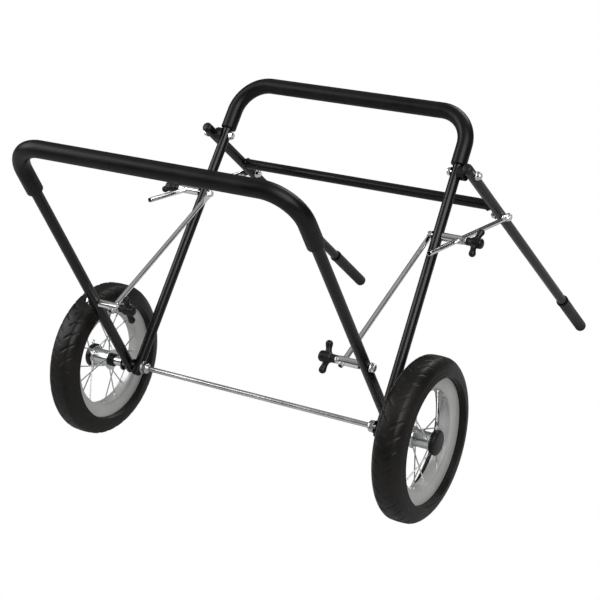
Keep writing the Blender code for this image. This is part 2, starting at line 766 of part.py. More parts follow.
def make_knob(name, data, start, axis, outward, turn, body):
    """Place a knob on its screw; its own X axis points away from the clamp."""
    knob = bpy.data.objects.new(name, data)
    bpy.context.scene.collection.objects.link(knob)
    knob.parent = body
    facing = 0.0 if outward > 0.0 else math.pi
    knob.rotation_euler = (Matrix.Rotation(-turn, 3, "X")
                           @ Matrix.Rotation(facing, 3, "Z")).to_euler()
    knob.location = axis + X_AXIS * start - world_place(body)
    return knob


def make_axle(body):
    """The stepped axle: plain between the nuts, grooved at both ends."""
    groove = LATCH_START - 0.4 * MM
    half = [(NUT_START - 2.0 * MM, AXLE_CENTRE_RADIUS), (NUT_START - 2.0 * MM, AXLE_RADIUS),
            (groove, AXLE_RADIUS), (groove, AXLE_GROOVE_RADIUS),
            (groove + AXLE_GROOVE_WIDTH, AXLE_GROOVE_RADIUS),
            (groove + AXLE_GROOVE_WIDTH, AXLE_RADIUS),
            (AXLE_END - 1.0 * MM, AXLE_RADIUS), (AXLE_END, AXLE_RADIUS - 1.0 * MM)]
    stations = [(-x, radius) for x, radius in half[::-1]] + half
    return attach(turned("axle_rod", stations, zinc(), AXLE_SIDES, at=AXLE), body)


def make_axle_fittings(label, body):
    """The nut and the spacers that share one end of the axle with the hoops."""
    side = SIDES[label]
    bore = AXLE_RADIUS + GAP
    seat = REAR_HALF_WIDTH_AXLE - TUBE_RADIUS - GAP
    make_nut(f"axle_nut_{label}", AXLE, -side, -seat, AXLE_NUT_HEIGHT + WASHER_THICKNESS,
             WASHER_THICKNESS, AXLE_NUT_FLATS, bore, zinc(), body)
    between = REAR_HALF_WIDTH_AXLE + TUBE_RADIUS + GAP
    leg_gap = FRONT_HALF_WIDTH_AXLE - TUBE_RADIUS - GAP - between
    make_ring(f"leg_spacer_{label}", AXLE, side, between, leg_gap, AXLE_WASHER_RADIUS, bore,
              black_plastic(), body)
    flange_end = HUB_SPACER_START + WASHER_THICKNESS
    stations = [(HUB_SPACER_START, bore), (HUB_SPACER_START, OUTER_WASHER_RADIUS),
                (flange_end, OUTER_WASHER_RADIUS), (flange_end, HUB_SPACER_RADIUS),
                (BUSH_START - GAP, HUB_SPACER_RADIUS), (BUSH_START - GAP, bore)]
    spacer = turned(f"hub_spacer_{label}", stations, chrome(), AXLE_SIDES, closed=True,
                    side=side, at=AXLE)
    attach(spacer, body)


def make_support_pivot(label, body):
    """Bolt, nut and saddle of one side of the support frame's hinge."""
    side = SIDES[label]
    inner_face = rear_half_width(SUPPORT_PIVOT) - TUBE_RADIUS
    seat = inner_face - GAP
    outer_face = SUPPORT_HALF_WIDTH + TUBE_RADIUS
    nut_start = outer_face + GAP
    nut_height = WASHER_THICKNESS + NUT_HEIGHT
    make_bolt(f"pivot_bolt_{label}", SUPPORT_AXIS, side, seat - WASHER_THICKNESS - BOLT_HEAD,
              BOLT_HEAD, WASHER_THICKNESS, nut_start + nut_height + BOLT_TAIL, BOLT_FLATS, body)
    make_nut(f"pivot_nut_{label}", SUPPORT_AXIS, side, nut_start, nut_height,
             WASHER_THICKNESS, BOLT_FLATS, BOLT_RADIUS + GAP, chrome(), body)
    start = rear_half_width(SUPPORT_PIVOT) + TUBE_RADIUS - SADDLE_WRAP
    end = SUPPORT_HALF_WIDTH - TUBE_RADIUS - GAP
    saddle = make_ring(f"pivot_saddle_{label}", SUPPORT_AXIS, side, start, end - start,
                       SADDLE_RADIUS, BOLT_RADIUS + GAP, black_plastic(), body)
    combine(saddle, rear_leg_cutter(side), "DIFFERENCE")


def rear_leg_cutter(side):
    """A bar along a rear leg, a seating clearance thicker than the tube."""
    ends = []
    reach = SADDLE_RADIUS + TUBE_RADIUS
    for distance in (SUPPORT_PIVOT - reach, SUPPORT_PIVOT + reach):
        ends.append(AXLE + REAR_DIRECTION * distance
                    + X_AXIS * side * rear_half_width(distance))
    along = (ends[1] - ends[0]).normalized()
    up = REAR_DIRECTION.cross(X_AXIS)
    across = up.cross(along)
    builder = bmesh.new()
    skin(builder, [swept_ring(end, across, up, TUBE_RADIUS + GAP, TUBE_SIDES) for end in ends])
    return make_object("cutter", builder, black_coat())


def make_rod_pivot(label, body):
    """The bolt that holds a V rod and carries the rear clamp, and the rod's washer."""
    side = SIDES[label]
    eye_in = V_ROD_X - EYE_HALF_THICKNESS
    washer = V_ROD_X + EYE_HALF_THICKNESS + GAP
    end = rear_half_width(V_ROD_PIVOT) + TUBE_RADIUS
    make_bolt(f"rod_pivot_bolt_{label}", V_ROD_AXIS, side, eye_in - GAP - SMALL_HEAD,
              SMALL_HEAD, 0.0, end, SMALL_HEAD_FLATS, body)
    make_ring(f"rod_pivot_washer_{label}", V_ROD_AXIS, side, washer, WASHER_THICKNESS,
              EYE_HALF_WIDTH, BOLT_RADIUS + GAP, chrome(), body)


def make_clamp_bolt(label, body):
    """The bolt that holds a front clamp against the front leg's inner face."""
    inner_face = front_half_width(FRONT_CLAMP_PIVOT) - TUBE_RADIUS
    outer_face = front_half_width(FRONT_CLAMP_PIVOT) + TUBE_RADIUS
    start = outer_face + GAP + WASHER_THICKNESS + NUT_HEIGHT
    make_bolt(f"clamp_bolt_{label}", FRONT_CLAMP_AXIS, -SIDES[label], -start, NUT_HEIGHT,
              WASHER_THICKNESS, -inner_face, BOLT_FLATS, body)


def make_brace_pivot(label, body):
    """The bolt and nut that hold one brace to its support leg."""
    side = SIDES[label]
    nut_height = WASHER_THICKNESS + NUT_HEIGHT
    seat = SUPPORT_HALF_WIDTH - TUBE_RADIUS - GAP
    start = BRACE_EYE_X + EYE_HALF_THICKNESS + GAP + WASHER_THICKNESS + BOLT_HEAD
    make_bolt(f"brace_bolt_{label}", BRACE_AXIS, -side, -start, BOLT_HEAD, WASHER_THICKNESS,
              BOLT_TAIL + nut_height - seat, BOLT_FLATS, body)
    make_nut(f"brace_nut_{label}", BRACE_AXIS, -side, -seat, nut_height, WASHER_THICKNESS,
             BOLT_FLATS, BOLT_RADIUS + GAP, chrome(), body)


def tyre_outline():
    """Closed outline of the tyre's section: (x from the wheel's middle, radius)."""
    shoulder_radius = WHEEL_RADIUS - TYRE_HEIGHT
    reach = TYRE_HALF_WIDTH - TREAD_FLAT
    half = []
    for step in range(TYRE_ARC_STEPS + 1):
        angle = math.radians(90.0 * step / TYRE_ARC_STEPS)
        half.append((TREAD_FLAT + reach * math.sin(angle),
                     shoulder_radius + TYRE_HEIGHT * math.cos(angle)))
    half.append((RIM_HALF_WIDTH + 2.0 * RIM_WALL, RIM_EDGE_RADIUS - 4.0 * MM))
    half.append((RIM_HALF_WIDTH + GAP, RIM_EDGE_RADIUS + GAP))
    half.append((RIM_HALF_WIDTH - RIM_LIP_SLOPE, RIM_EDGE_RADIUS + RIM_WALL))
    return half + [(-x, radius) for x, radius in reversed(half)]


def rim_outline():
    """Closed outline of the rim's section: sloping lips and a sunk well."""
    lip_radius = RIM_EDGE_RADIUS - RIM_LIP_DEPTH
    lip_x = RIM_HALF_WIDTH - RIM_LIP_SLOPE
    well = lip_radius - RIM_WELL_DEPTH
    inner = [(RIM_HALF_WIDTH, RIM_EDGE_RADIUS), (RIM_HALF_WIDTH, RIM_EDGE_RADIUS - 2.0 * MM),
             (lip_x, lip_radius), (RIM_WELL_HALF_WIDTH, well)]
    outer = [(RIM_HALF_WIDTH - RIM_WALL, RIM_EDGE_RADIUS),
             (lip_x - RIM_WALL, lip_radius + RIM_WALL),
             (RIM_WELL_HALF_WIDTH, well + RIM_WALL)]
    inside = inner + [(-x, radius) for x, radius in reversed(inner)]
    outside = outer + [(-x, radius) for x, radius in reversed(outer)]
    return inside + outside[::-1]


def wheel_ring(name, outline, finish, side, body):
    """A ring round the axle whose lowest facet lies flat on the ground."""
    builder = bmesh.new()
    corner = 1.0 / math.cos(math.pi / WHEEL_SIDES)
    rings = [round_ring(side * x, radius * corner, WHEEL_SIDES, 0.5) for x, radius in outline]
    skin(builder, rings, closed=True)
    made = make_object(name, builder, finish)
    made.location = AXLE + X_AXIS * side * WHEEL_CENTRE
    return attach(made, body)


def spoke_ends(side):
    """Start at the hub and end at the rim of every spoke of one wheel."""
    well = RIM_EDGE_RADIUS - RIM_LIP_DEPTH - RIM_WELL_DEPTH
    rim_reach = well - GAP - 0.5 * MM
    hub_reach = HUB_FLANGE_RADIUS - 3.5 * MM
    flange_middles = (HUB_START + 0.5 * HUB_FLANGE_WIDTH, HUB_END - 0.5 * HUB_FLANGE_WIDTH)
    pairs = SPOKES_PER_FLANGE // 2
    ends = []
    for flange, flange_x in enumerate(flange_middles):
        inwards = 1.0 if flange == 0 else -1.0
        rim_x = WHEEL_CENTRE - inwards * SPOKE_RIM_OFFSET
        for index in range(SPOKES_PER_FLANGE):
            way = 1.0 if index % 2 else -1.0
            hub_x = flange_x + (inwards * SPOKE_SET if way > 0.0 else 0.0)
            rim_angle = 2.0 * math.pi * (index // 2 + 0.5 * flange) / pairs
            rim_angle += way * math.pi / (4.0 * pairs)
            hub_angle = rim_angle - way * SPOKE_SWEEP
            ends.append((AXLE + Vector((side * hub_x, hub_reach * math.cos(hub_angle),
                                        hub_reach * math.sin(hub_angle))),
                         AXLE + Vector((side * rim_x, rim_reach * math.cos(rim_angle),
                                        rim_reach * math.sin(rim_angle)))))
    return ends


def spoke_solid(start, end):
    """One spoke, thicker at its nipple end."""
    along = (end - start).normalized()
    across = along.cross(X_AXIS).normalized()
    up = along.cross(across)
    length = (end - start).length
    nipple = length - NIPPLE_LENGTH
    stations = [(0.0, SPOKE_RADIUS), (nipple, SPOKE_RADIUS), (nipple + 0.5 * MM, NIPPLE_RADIUS),
                (length, NIPPLE_RADIUS)]
    builder = bmesh.new()
    skin(builder, [swept_ring(start + along * distance, across, up, radius, SPOKE_SIDES)
                   for distance, radius in stations])
    return make_object("spoke", builder, hub_silver())


def make_hub(name, side, body):
    """The hub shell with its two flanges and the spokes laced into them."""
    waist = HUB_FLANGE_WIDTH + 2.0 * MM
    stations = [(HUB_START, HUB_BORE_RADIUS), (HUB_START, HUB_FLANGE_RADIUS),
                (HUB_START + HUB_FLANGE_WIDTH, HUB_FLANGE_RADIUS),
                (HUB_START + waist, HUB_BARREL_RADIUS), (HUB_END - waist, HUB_BARREL_RADIUS),
                (HUB_END - HUB_FLANGE_WIDTH, HUB_FLANGE_RADIUS), (HUB_END, HUB_FLANGE_RADIUS),
                (HUB_END, HUB_BORE_RADIUS)]
    hub = turned(name, stations, hub_silver(), HUB_SIDES, closed=True, side=side, at=AXLE)
    for start, end in spoke_ends(side):
        combine(hub, spoke_solid(start, end), "UNION")
    return attach(hub, body)


def make_bush(name, side, body):
    """The plain bush on which a wheel turns, with a flange at its inner end."""
    bore = AXLE_RADIUS + GAP
    seat = HUB_BORE_RADIUS - GAP
    face = HUB_START - GAP
    stations = [(BUSH_START, bore), (BUSH_START, BUSH_FLANGE_RADIUS - 1.5 * MM),
                (BUSH_START + 1.5 * MM, BUSH_FLANGE_RADIUS), (face, BUSH_FLANGE_RADIUS),
                (face, seat), (HUB_END, seat), (HUB_END, bore)]
    bush = turned(name, stations, black_plastic(), HUB_SIDES, closed=True, side=side, at=AXLE)
    return attach(bush, body)


def make_hub_cap(name, side, body):
    """The domed black cap, notched at the top for the latch."""
    rim = CAP_START + CAP_LENGTH - CAP_DOME
    end = CAP_START + CAP_LENGTH
    inner = CAP_RADIUS - CAP_WALL
    stations = [(end - CAP_END_WALL, 0.45 * inner), (rim, inner), (CAP_START, inner),
                (CAP_START, CAP_RADIUS), (rim, CAP_RADIUS),
                (rim + 0.6 * CAP_DOME, 0.86 * CAP_RADIUS), (end, 0.5 * CAP_RADIUS)]
    cap = turned(name, stations, black_plastic(), HUB_SIDES, side=side, at=AXLE)
    notch_x = LATCH_START + 0.5 * LATCH_THICKNESS
    notch = box_cutter(AXLE + Vector((side * notch_x, 0.0, CAP_RADIUS)),
                       (LATCH_THICKNESS + 2.0 * GAP,
                        2.0 * (LATCH_EYE_RADIUS + GAP), 4.0 * CAP_WALL))
    combine(cap, notch, "DIFFERENCE")
    return attach(cap, body)


def make_latch(name, side, body):
    """A sliding keyhole plate that holds the wheel in the axle's groove."""
    release = AXLE_RADIUS + GAP
    low = -(LATCH_TRAVEL + release + LATCH_RIM)
    shoulder = LATCH_SHOULDER
    half = LATCH_HALF_WIDTH
    neck = LATCH_NECK_HALF_WIDTH
    outline = [(-half, low), (half, low), (half, shoulder), (neck, shoulder + 4.0 * MM),
               (neck, LATCH_EYE_CENTRE - 0.8 * LATCH_EYE_RADIUS)]
    for step in range(9):
        angle = math.radians(-40.0 + 260.0 * step / 8)
        outline.append((LATCH_EYE_RADIUS * math.cos(angle),
                        LATCH_EYE_CENTRE + LATCH_EYE_RADIUS * math.sin(angle)))
    outline += [(-neck, LATCH_EYE_CENTRE - 0.8 * LATCH_EYE_RADIUS),
                (-neck, shoulder + 4.0 * MM), (-half, shoulder)]
    builder = bmesh.new()
    skin(builder, [[Vector((side * x, y, z)) for y, z in outline]
                   for x in (LATCH_START, LATCH_START + LATCH_THICKNESS)])
    latch = make_object(name, builder, chrome())
    latch.location = AXLE
    centre = AXLE + X_AXIS * side * (LATCH_START + 0.5 * LATCH_THICKNESS)
    depth = 4.0 * LATCH_THICKNESS
    up = Vector((0.0, 0.0, 1.0))
    groove = AXLE_GROOVE_RADIUS + GAP
    combine(latch, bore_cutter(centre + up * LATCH_EYE_CENTRE, X_AXIS, LATCH_EYE_BORE,
                               depth, 12), "DIFFERENCE")
    combine(latch, bore_cutter(centre, X_AXIS, groove, depth, 16), "DIFFERENCE")
    combine(latch, bore_cutter(centre - up * LATCH_TRAVEL, X_AXIS, release, depth, 16),
            "DIFFERENCE")
    return attach(latch, body)


def make_wheel(label, root):
    """One spoked wheel with its hub, cap and latch."""
    side = SIDES[label]
    wheel = pivot(f"wheel_{label}_pivot", AXLE + X_AXIS * side * WHEEL_CENTRE, root)
    wheel_ring(f"tyre_{label}", tyre_outline(), black_rubber(), side, wheel)
    wheel_ring(f"rim_{label}", rim_outline(), rim_silver(), side, wheel)
    make_hub(f"spoked_hub_{label}", side, wheel)
    make_bush(f"hub_bush_{label}", side, wheel)
    make_hub_cap(f"hub_cap_{label}", side, wheel)
    latch_axis = AXLE + X_AXIS * side * LATCH_START
    latch = pivot(f"latch_{label}_slide", latch_axis, wheel)
    make_latch(f"hub_latch_{label}", side, latch)


def make_front_rod_set(label, root, knob_data):
    """A V rod hinged on the rear leg, with the clamp and knob of the front leg."""
    side = SIDES[label]
    rod_x = side * V_ROD_X
    rod = pivot(f"v_rod_{label}_pivot", V_ROD_AXIS + X_AXIS * rod_x, root)
    make_rod(f"v_rod_{label}", V_ROD_AXIS, FRONT_CLAMP_AXIS, rod_x, rod_x, V_ROD_LENGTH, rod)
    seat = side * (front_half_width(FRONT_CLAMP_PIVOT) - TUBE_RADIUS)
    clamp = pivot(f"front_clamp_{label}_slide", FRONT_CLAMP_AXIS + X_AXIS * rod_x, rod)
    end = make_clamp(f"front_clamp_{label}", seat, rod_x, FRONT_CLAMP_AXIS, V_ROD_AXIS,
                     -side, clamp)
    turn = pivot(f"front_knob_{label}_pivot", FRONT_CLAMP_AXIS + X_AXIS * end, clamp)
    start = make_screw(f"front_screw_{label}", end, rod_x, FRONT_CLAMP_AXIS, -side, turn)
    make_knob(f"front_knob_{label}", knob_data, start, FRONT_CLAMP_AXIS, -side,
              FRONT_KNOB_TURN[label], turn)


def make_rear_rod_set(label, support, knob_data):
    """A brace hinged on the support leg, with the clamp and knob of the rear leg."""
    side = SIDES[label]
    rod_x = side * BRACE_X
    rod = pivot(f"brace_{label}_pivot", BRACE_AXIS + X_AXIS * rod_x, support)
    make_rod(f"brace_rod_{label}", BRACE_AXIS, REAR_CLAMP_AXIS, side * BRACE_EYE_X, rod_x,
             BRACE_LENGTH, rod)
    seat = side * (rear_half_width(V_ROD_PIVOT) + TUBE_RADIUS)
    clamp = pivot(f"rear_clamp_{label}_slide", REAR_CLAMP_AXIS + X_AXIS * rod_x, rod)
    end = make_clamp(f"rear_clamp_{label}", seat, rod_x, REAR_CLAMP_AXIS, BRACE_AXIS,
                     side, clamp)
    turn = pivot(f"rear_knob_{label}_pivot", REAR_CLAMP_AXIS + X_AXIS * end, clamp)
    start = make_screw(f"rear_screw_{label}", end, rod_x, REAR_CLAMP_AXIS, side, turn)
    make_knob(f"rear_knob_{label}", knob_data, start, REAR_CLAMP_AXIS, side,
              REAR_KNOB_TURN[label], turn)


def centre_on_ground(root):
    """Move the trolley so that the middle of its footprint is the origin."""
    bpy.context.view_layer.update()
    depths = [(item.matrix_world @ vertex.co).y
              for item in bpy.data.objects if item.type == "MESH"
              for vertex in item.data.vertices]
    root.location = (0.0, -0.5 * (min(depths) + max(depths)), 0.0)
    bpy.context.view_layer.update()


def main():
    clear_scene()
    front_size = (FRONT_HALF_WIDTH_AXLE, FRONT_HALF_WIDTH_TOP, FRONT_LENGTH)
    rear_size = (REAR_HALF_WIDTH_AXLE, REAR_HALF_WIDTH_TOP, REAR_LENGTH)
    root = pivot("trolley", (0.0, 0.0, 0.0))
    rear = pivot("rear_frame", AXLE, root)
    make_hoop("rear_hoop", rear_size, REAR_DIRECTION, rear, [SUPPORT_AXIS, V_ROD_AXIS])
    make_foam("rear_foam_sleeve", rear_size, REAR_DIRECTION, REAR_FOAM_END, rear)
    make_axle(rear)
    front = pivot("front_frame_pivot", AXLE, root)
    make_hoop("front_hoop", front_size, FRONT_DIRECTION, front, [FRONT_CLAMP_AXIS])
    make_foam("front_foam_sleeve", front_size, FRONT_DIRECTION, FRONT_FOAM_END, front)
    support = pivot("support_frame_pivot", SUPPORT_AXIS, root)
    make_support_frame(support)
    knob_data = knob_mesh()
    for label, side in SIDES.items():
        make_axle_fittings(label, rear)
        make_support_pivot(label, rear)
        make_rod_pivot(label, rear)
        make_clamp_bolt(label, front)
        make_leg_plug(f"support_leg_plug_{label}", side, support)
        make_grip(f"grip_{label}", side, support)
        make_brace_pivot(label, support)
        make_front_rod_set(label, root, knob_data)
        make_rear_rod_set(label, support, knob_data)
        make_wheel(label, root)
    centre_on_ground(root)


main()
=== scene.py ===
"""Looks of the bass drum trolley, laid out as an add-on and run as a script.

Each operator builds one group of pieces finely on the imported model's centre lines,
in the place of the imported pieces, with procedural finishes. Only the saddle spacers
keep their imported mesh. The last operator sets the stage.
"""
import math

import bmesh
import bpy
from mathutils import Matrix, Vector


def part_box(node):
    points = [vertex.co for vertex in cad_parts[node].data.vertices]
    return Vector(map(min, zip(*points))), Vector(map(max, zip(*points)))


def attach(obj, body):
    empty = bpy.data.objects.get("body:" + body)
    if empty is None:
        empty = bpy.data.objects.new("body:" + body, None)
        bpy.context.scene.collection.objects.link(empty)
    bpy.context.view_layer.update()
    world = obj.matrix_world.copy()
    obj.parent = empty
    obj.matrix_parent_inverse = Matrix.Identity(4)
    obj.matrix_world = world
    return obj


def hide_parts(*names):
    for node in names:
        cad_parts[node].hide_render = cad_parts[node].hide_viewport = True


bl_info = {
    "name": "Bass drum trolley looks",
    "version": (1, 0, 0),
    "blender": (4, 5, 0),
    "location": "3D View > Sidebar > Trolley",
    "description": "Builds the visible pieces of the trolley and its stage",
    "category": "Object",
}

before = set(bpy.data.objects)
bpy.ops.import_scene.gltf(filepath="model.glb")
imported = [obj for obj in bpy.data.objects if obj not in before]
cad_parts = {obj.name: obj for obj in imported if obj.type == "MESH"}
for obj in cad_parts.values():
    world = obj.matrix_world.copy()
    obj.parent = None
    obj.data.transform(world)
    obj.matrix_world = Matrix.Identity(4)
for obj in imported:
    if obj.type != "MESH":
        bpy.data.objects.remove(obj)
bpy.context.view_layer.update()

MM = 0.001
X_AXIS = Vector((1.0, 0.0, 0.0))
Y_AXIS = Vector((0.0, 1.0, 0.0))
SIDES = {"left": -1.0, "right": 1.0}
GAP = 0.3 * MM
SMOOTH = 48

# Frame tubes. A reach runs along a leg: from the axle on the hoops, and from the hinge
# on the support frame.
TUBE = 10.0 * MM
REAR_AXLE_X, REAR_TOP_X = 0.267, 0.2525
FRONT_AXLE_X, FRONT_TOP_X = 0.2905, 0.2785
SUPPORT_X = 0.2864
LEG_END = -14.0 * MM
BEND_STEPS = 24
HINGE_REACH = 0.4965
ROD_REACH = 0.370
FRONT_CLAMP_REACH = 0.188
BRACE_REACH = 0.188
CROSSBAR_REACH = 139.3 * MM
FRONT_FOAM_START, REAR_FOAM_START = 0.492, 0.512
LEG_TOP = -25.0 * MM
GRIP_RADIUS = 12.5 * MM
GRIP_LENGTH = 168.0 * MM
GRIP_ROUNDING = 6.0 * MM
GRIP_FLOOR = 5.0 * MM
PLUG_INSET = 1.8 * MM

# Bolts, nuts and washers.
BOLT = 4.0 * MM
BOLT_HOLE = 4.3 * MM
BOLT_FLATS = 13.0 * MM
BOLT_HEAD = 5.3 * MM
BOLT_SHOWS = 2.0 * MM
NUT_HEIGHT = 6.5 * MM
WASHER = 1.6 * MM
WASHER_RADIUS = 8.5 * MM
ROD_BOLT_HEAD = 3.8 * MM
ROD_BOLT_FLATS = 11.0 * MM

# Telescopic rods with a flattened eye, their clamps and the thumb screws.
ROD_WALL = 1.0 * MM
EYE_HALF_WIDTH = 7.25 * MM
EYE_HALF_THICK = 1.5 * MM
EYE_END = 20.0 * MM
EYE_FLARE = 16.0 * MM
V_ROD_LENGTH, BRACE_LENGTH = 0.360, 0.345
BORE_DEPTH = 60.0 * MM
BRACE_EYE_X = SUPPORT_X + TUBE + GAP + EYE_HALF_THICK
BRACE_ROD_X = BRACE_EYE_X + 3.5 * MM
CLAMP_RADIUS = 8.0 * MM
CLAMP_BEYOND_ROD = 8.4 * MM
ROD_HOLE = 5.05 * MM
SCREW_BORE = 3.0 * MM
SCREW = SCREW_BORE - 0.01 * MM
SCREW_LENGTH = 21.0 * MM
COLLAR_HEIGHT = 6.0 * MM
KNOB_SEAT = 6.6 * MM
KNOB_VOXEL = 0.6 * MM
LOBE_RADIUS = 6.7 * MM
KNOB_TURNS = {("front", "left"): -16.0, ("front", "right"): 31.0,
              ("rear", "left"): 94.0, ("rear", "right"): 51.0}

# Wheels, axle and latches.
WHEEL_CENTRE = 0.3484
HUB_START = WHEEL_CENTRE - 17.0 * MM
HUB_END = HUB_START + 41.0 * MM
HUB_BARREL = 15.5 * MM
HUB_FLANGE = 20.0 * MM
BUSH_START = HUB_START - GAP - 8.5 * MM
CAP_START = HUB_END + GAP
CAP_RADIUS = 23.0 * MM
LATCH_START = CAP_START + 3.0 * MM
LATCH_THICKNESS = 1.6 * MM
LATCH_HOLES = ((28.5 * MM, 2.3 * MM), (0.0, 4.8 * MM), (-4.0 * MM, 6.3 * MM))
AXLE_RADIUS = 6.0 * MM
AXLE_BORE = 6.3 * MM
AXLE_WASHER = 12.0 * MM
AXLE_NUT_HEIGHT = 10.0 * MM
AXLE_NUT_FLATS = 19.0 * MM
GROOVE_RADIUS = 4.5 * MM
GROOVE_WIDTH = 2.4 * MM
SPOKE = 1.2 * MM
SPOKE_AT_HUB = 16.5 * MM
SPOKE_AT_RIM = 96.7 * MM
SPOKE_SWEEP = math.radians(36.0)
TYRE_HEIGHT = 37.0 * MM
TREAD_EDGE = 0.130
TREAD_HALF = 25.0 * MM
TREAD_DEPTH = 1.3 * MM
TREAD_PITCHES = 36
TREAD_STEPS = 20
TREAD_RIB = 0.08
TREAD_GROOVE = 0.13
TREAD_FADE = 0.15
TREAD_SWEEP = 0.85

# Stage. Each lamp has a place, a size and a share of the key light's power.
CAMERA_YAW, CAMERA_PITCH, CAMERA_ROLL = -0.5474, 0.3852, -0.0109
CAMERA_FROM_AXLE = Vector((1.4238, -2.1686, 1.2429))
LAMPS = {"key": ((2.4, -2.0, 3.0), 2.8, 1.0),
         "fill": ((-2.8, -1.6, 2.2), 2.2, 0.5),
         "back": ((0.5, 3.0, 3.0), 2.2, 0.5)}
LAMP_AIM = Vector((0.0, 0.0, 0.35))
ROOM_LOW, ROOM_HIGH = (0.1, 0.03), (0.9, 0.32)
FLOOR_HALF = 30.0
FLOOR_DROP = 0.4 * MM
FLOOR_GREY = 0.50


def middle_of(node):
    low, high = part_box(node)
    return (Vector(low) + Vector(high)) / 2.0


AXLE = middle_of("axle_rod")
AXLE.x = 0.0


def length(name, description, default):
    return bpy.props.FloatProperty(name=name, description=description, default=default,
                                   min=0.0001, max=2.0, subtype="DISTANCE", unit="LENGTH")


def angle(name, description, default):
    return bpy.props.FloatProperty(name=name, description=description, default=default,
                                   min=-math.pi, max=math.pi, subtype="ANGLE", unit="ROTATION")


def tint(name, description, default):
    return bpy.props.FloatVectorProperty(name=name, description=description, default=default,
                                         size=3, min=0.0, max=1.0, subtype="COLOR")


class TrolleyFrame(bpy.types.PropertyGroup):
    tube_radius: length("Tube radius", "Outer radius of the frame tubes", TUBE)
    foam_radius: length("Foam radius", "Outer radius of the foam sleeves", 0.0152)
    bend_radius: length("Bend radius", "Centre line radius of the hoop bends", 0.065)
    front_lean: angle("Front lean", "Lean of the front hoop", math.radians(29.8))
    rear_lean: angle("Rear lean", "Lean of the rear hoop", math.radians(38.3))
    support_lean: angle("Support lean", "Lean of the support legs", math.radians(49.4))
    front_length: length("Front length", "Axle to front bar", 0.6025)
    rear_length: length("Rear length", "Axle to rear bar", 0.6135)
    coat: tint("Coat", "Powder coat colour", (0.0035, 0.0034, 0.0036))
    foam: tint("Foam", "Foam colour", (0.0040, 0.0040, 0.0043))
    rubber: tint("Grip rubber", "Colour of the grips", (0.0040, 0.0040, 0.0042))
    plastic: tint("Plastic", "Colour of the moulded pieces", (0.0035, 0.0035, 0.0037))


class TrolleyMetal(bpy.types.PropertyGroup):
    rod_radius: length("Rod radius", "Outer radius of the telescopic rods", 0.00475)
    lobe_reach: length("Lobe reach", "Reach of a thumb screw's lobes", 0.023)
    chrome: tint("Chrome", "Chrome plate colour", (0.93, 0.935, 0.94))
    zinc: tint("Zinc", "Zinc plate colour", (0.72, 0.74, 0.74))


class TrolleyWheel(bpy.types.PropertyGroup):
    radius: length("Wheel radius", "Tyre radius", 0.150)
    centre: length("Wheel centre", "Wheel plane from the middle", WHEEL_CENTRE)
    tyre: tint("Tyre", "Tyre colour", (0.0070, 0.0060, 0.0052))
    rim: tint("Rim", "Rim colour", (0.60, 0.60, 0.59))


class TrolleyStage(bpy.types.PropertyGroup):
    lens: bpy.props.FloatProperty(name="Lens", description="Focal length in millimetres",
                                  default=92.49, min=10.0, max=300.0)
    floor: tint("Floor", "Floor and backdrop colour", (1.0, 1.0, 1.0))
    key: bpy.props.FloatProperty(name="Key light", description="Power of the key light in watts",
                                 default=105.0, min=0.0, max=2000.0)


def shader_of(name, colour, roughness, metallic):
    """A new material and its shader, or the kept material and no shader."""
    made = bpy.data.materials.get(name)
    if made:
        return made, None
    made = bpy.data.materials.new(name)
    made.use_nodes = True
    shader = made.node_tree.nodes["Principled BSDF"]
    shader.inputs["Base Color"].default_value = (*colour, 1.0)
    shader.inputs["Roughness"].default_value = roughness
    shader.inputs["Metallic"].default_value = metallic
    return made, shader


def add_noise(made, scale, detail):
    nodes, links = made.node_tree.nodes, made.node_tree.links
    place = nodes.new("ShaderNodeTexCoord")
    noise = nodes.new("ShaderNodeTexNoise")
    noise.inputs["Scale"].default_value = scale
    noise.inputs["Detail"].default_value = detail
    links.new(place.outputs["Object"], noise.inputs["Vector"])
    return noise


def add_bump(made, shader, source, strength, distance):
    nodes, links = made.node_tree.nodes, made.node_tree.links
    bump = nodes.new("ShaderNodeBump")
    bump.inputs["Strength"].default_value = strength
    bump.inputs["Distance"].default_value = distance
    links.new(source, bump.inputs["Height"])
    links.new(bump.outputs["Normal"], shader.inputs["Normal"])


def vary(made, shader, socket, source, low, high):
    """Let a noise move a shader input between two values."""
    nodes, links = made.node_tree.nodes, made.node_tree.links
    ramp = nodes.new("ShaderNodeMapRange")
    ramp.inputs["From Min"].default_value = 0.3
    ramp.inputs["From Max"].default_value = 0.7
    ramp.inputs["To Min"].default_value = low
    ramp.inputs["To Max"].default_value = high
    links.new(source, ramp.inputs["Value"])
    links.new(ramp.outputs["Result"], shader.inputs[socket])


def tone(made, shader, source, dark, light):
    """Let a noise mix two close colours."""
    nodes, links = made.node_tree.nodes, made.node_tree.links
    ramp = nodes.new("ShaderNodeValToRGB")
    ramp.color_ramp.elements[0].position = 0.35
    ramp.color_ramp.elements[1].position = 0.68
    ramp.color_ramp.elements[0].color = (*dark, 1.0)
    ramp.color_ramp.elements[1].color = (*light, 1.0)
    links.new(source, ramp.inputs["Fac"])
    links.new(ramp.outputs["Color"], shader.inputs["Base Color"])


def scaled(colour, share):
    return tuple(min(1.0, part * share) for part in colour)


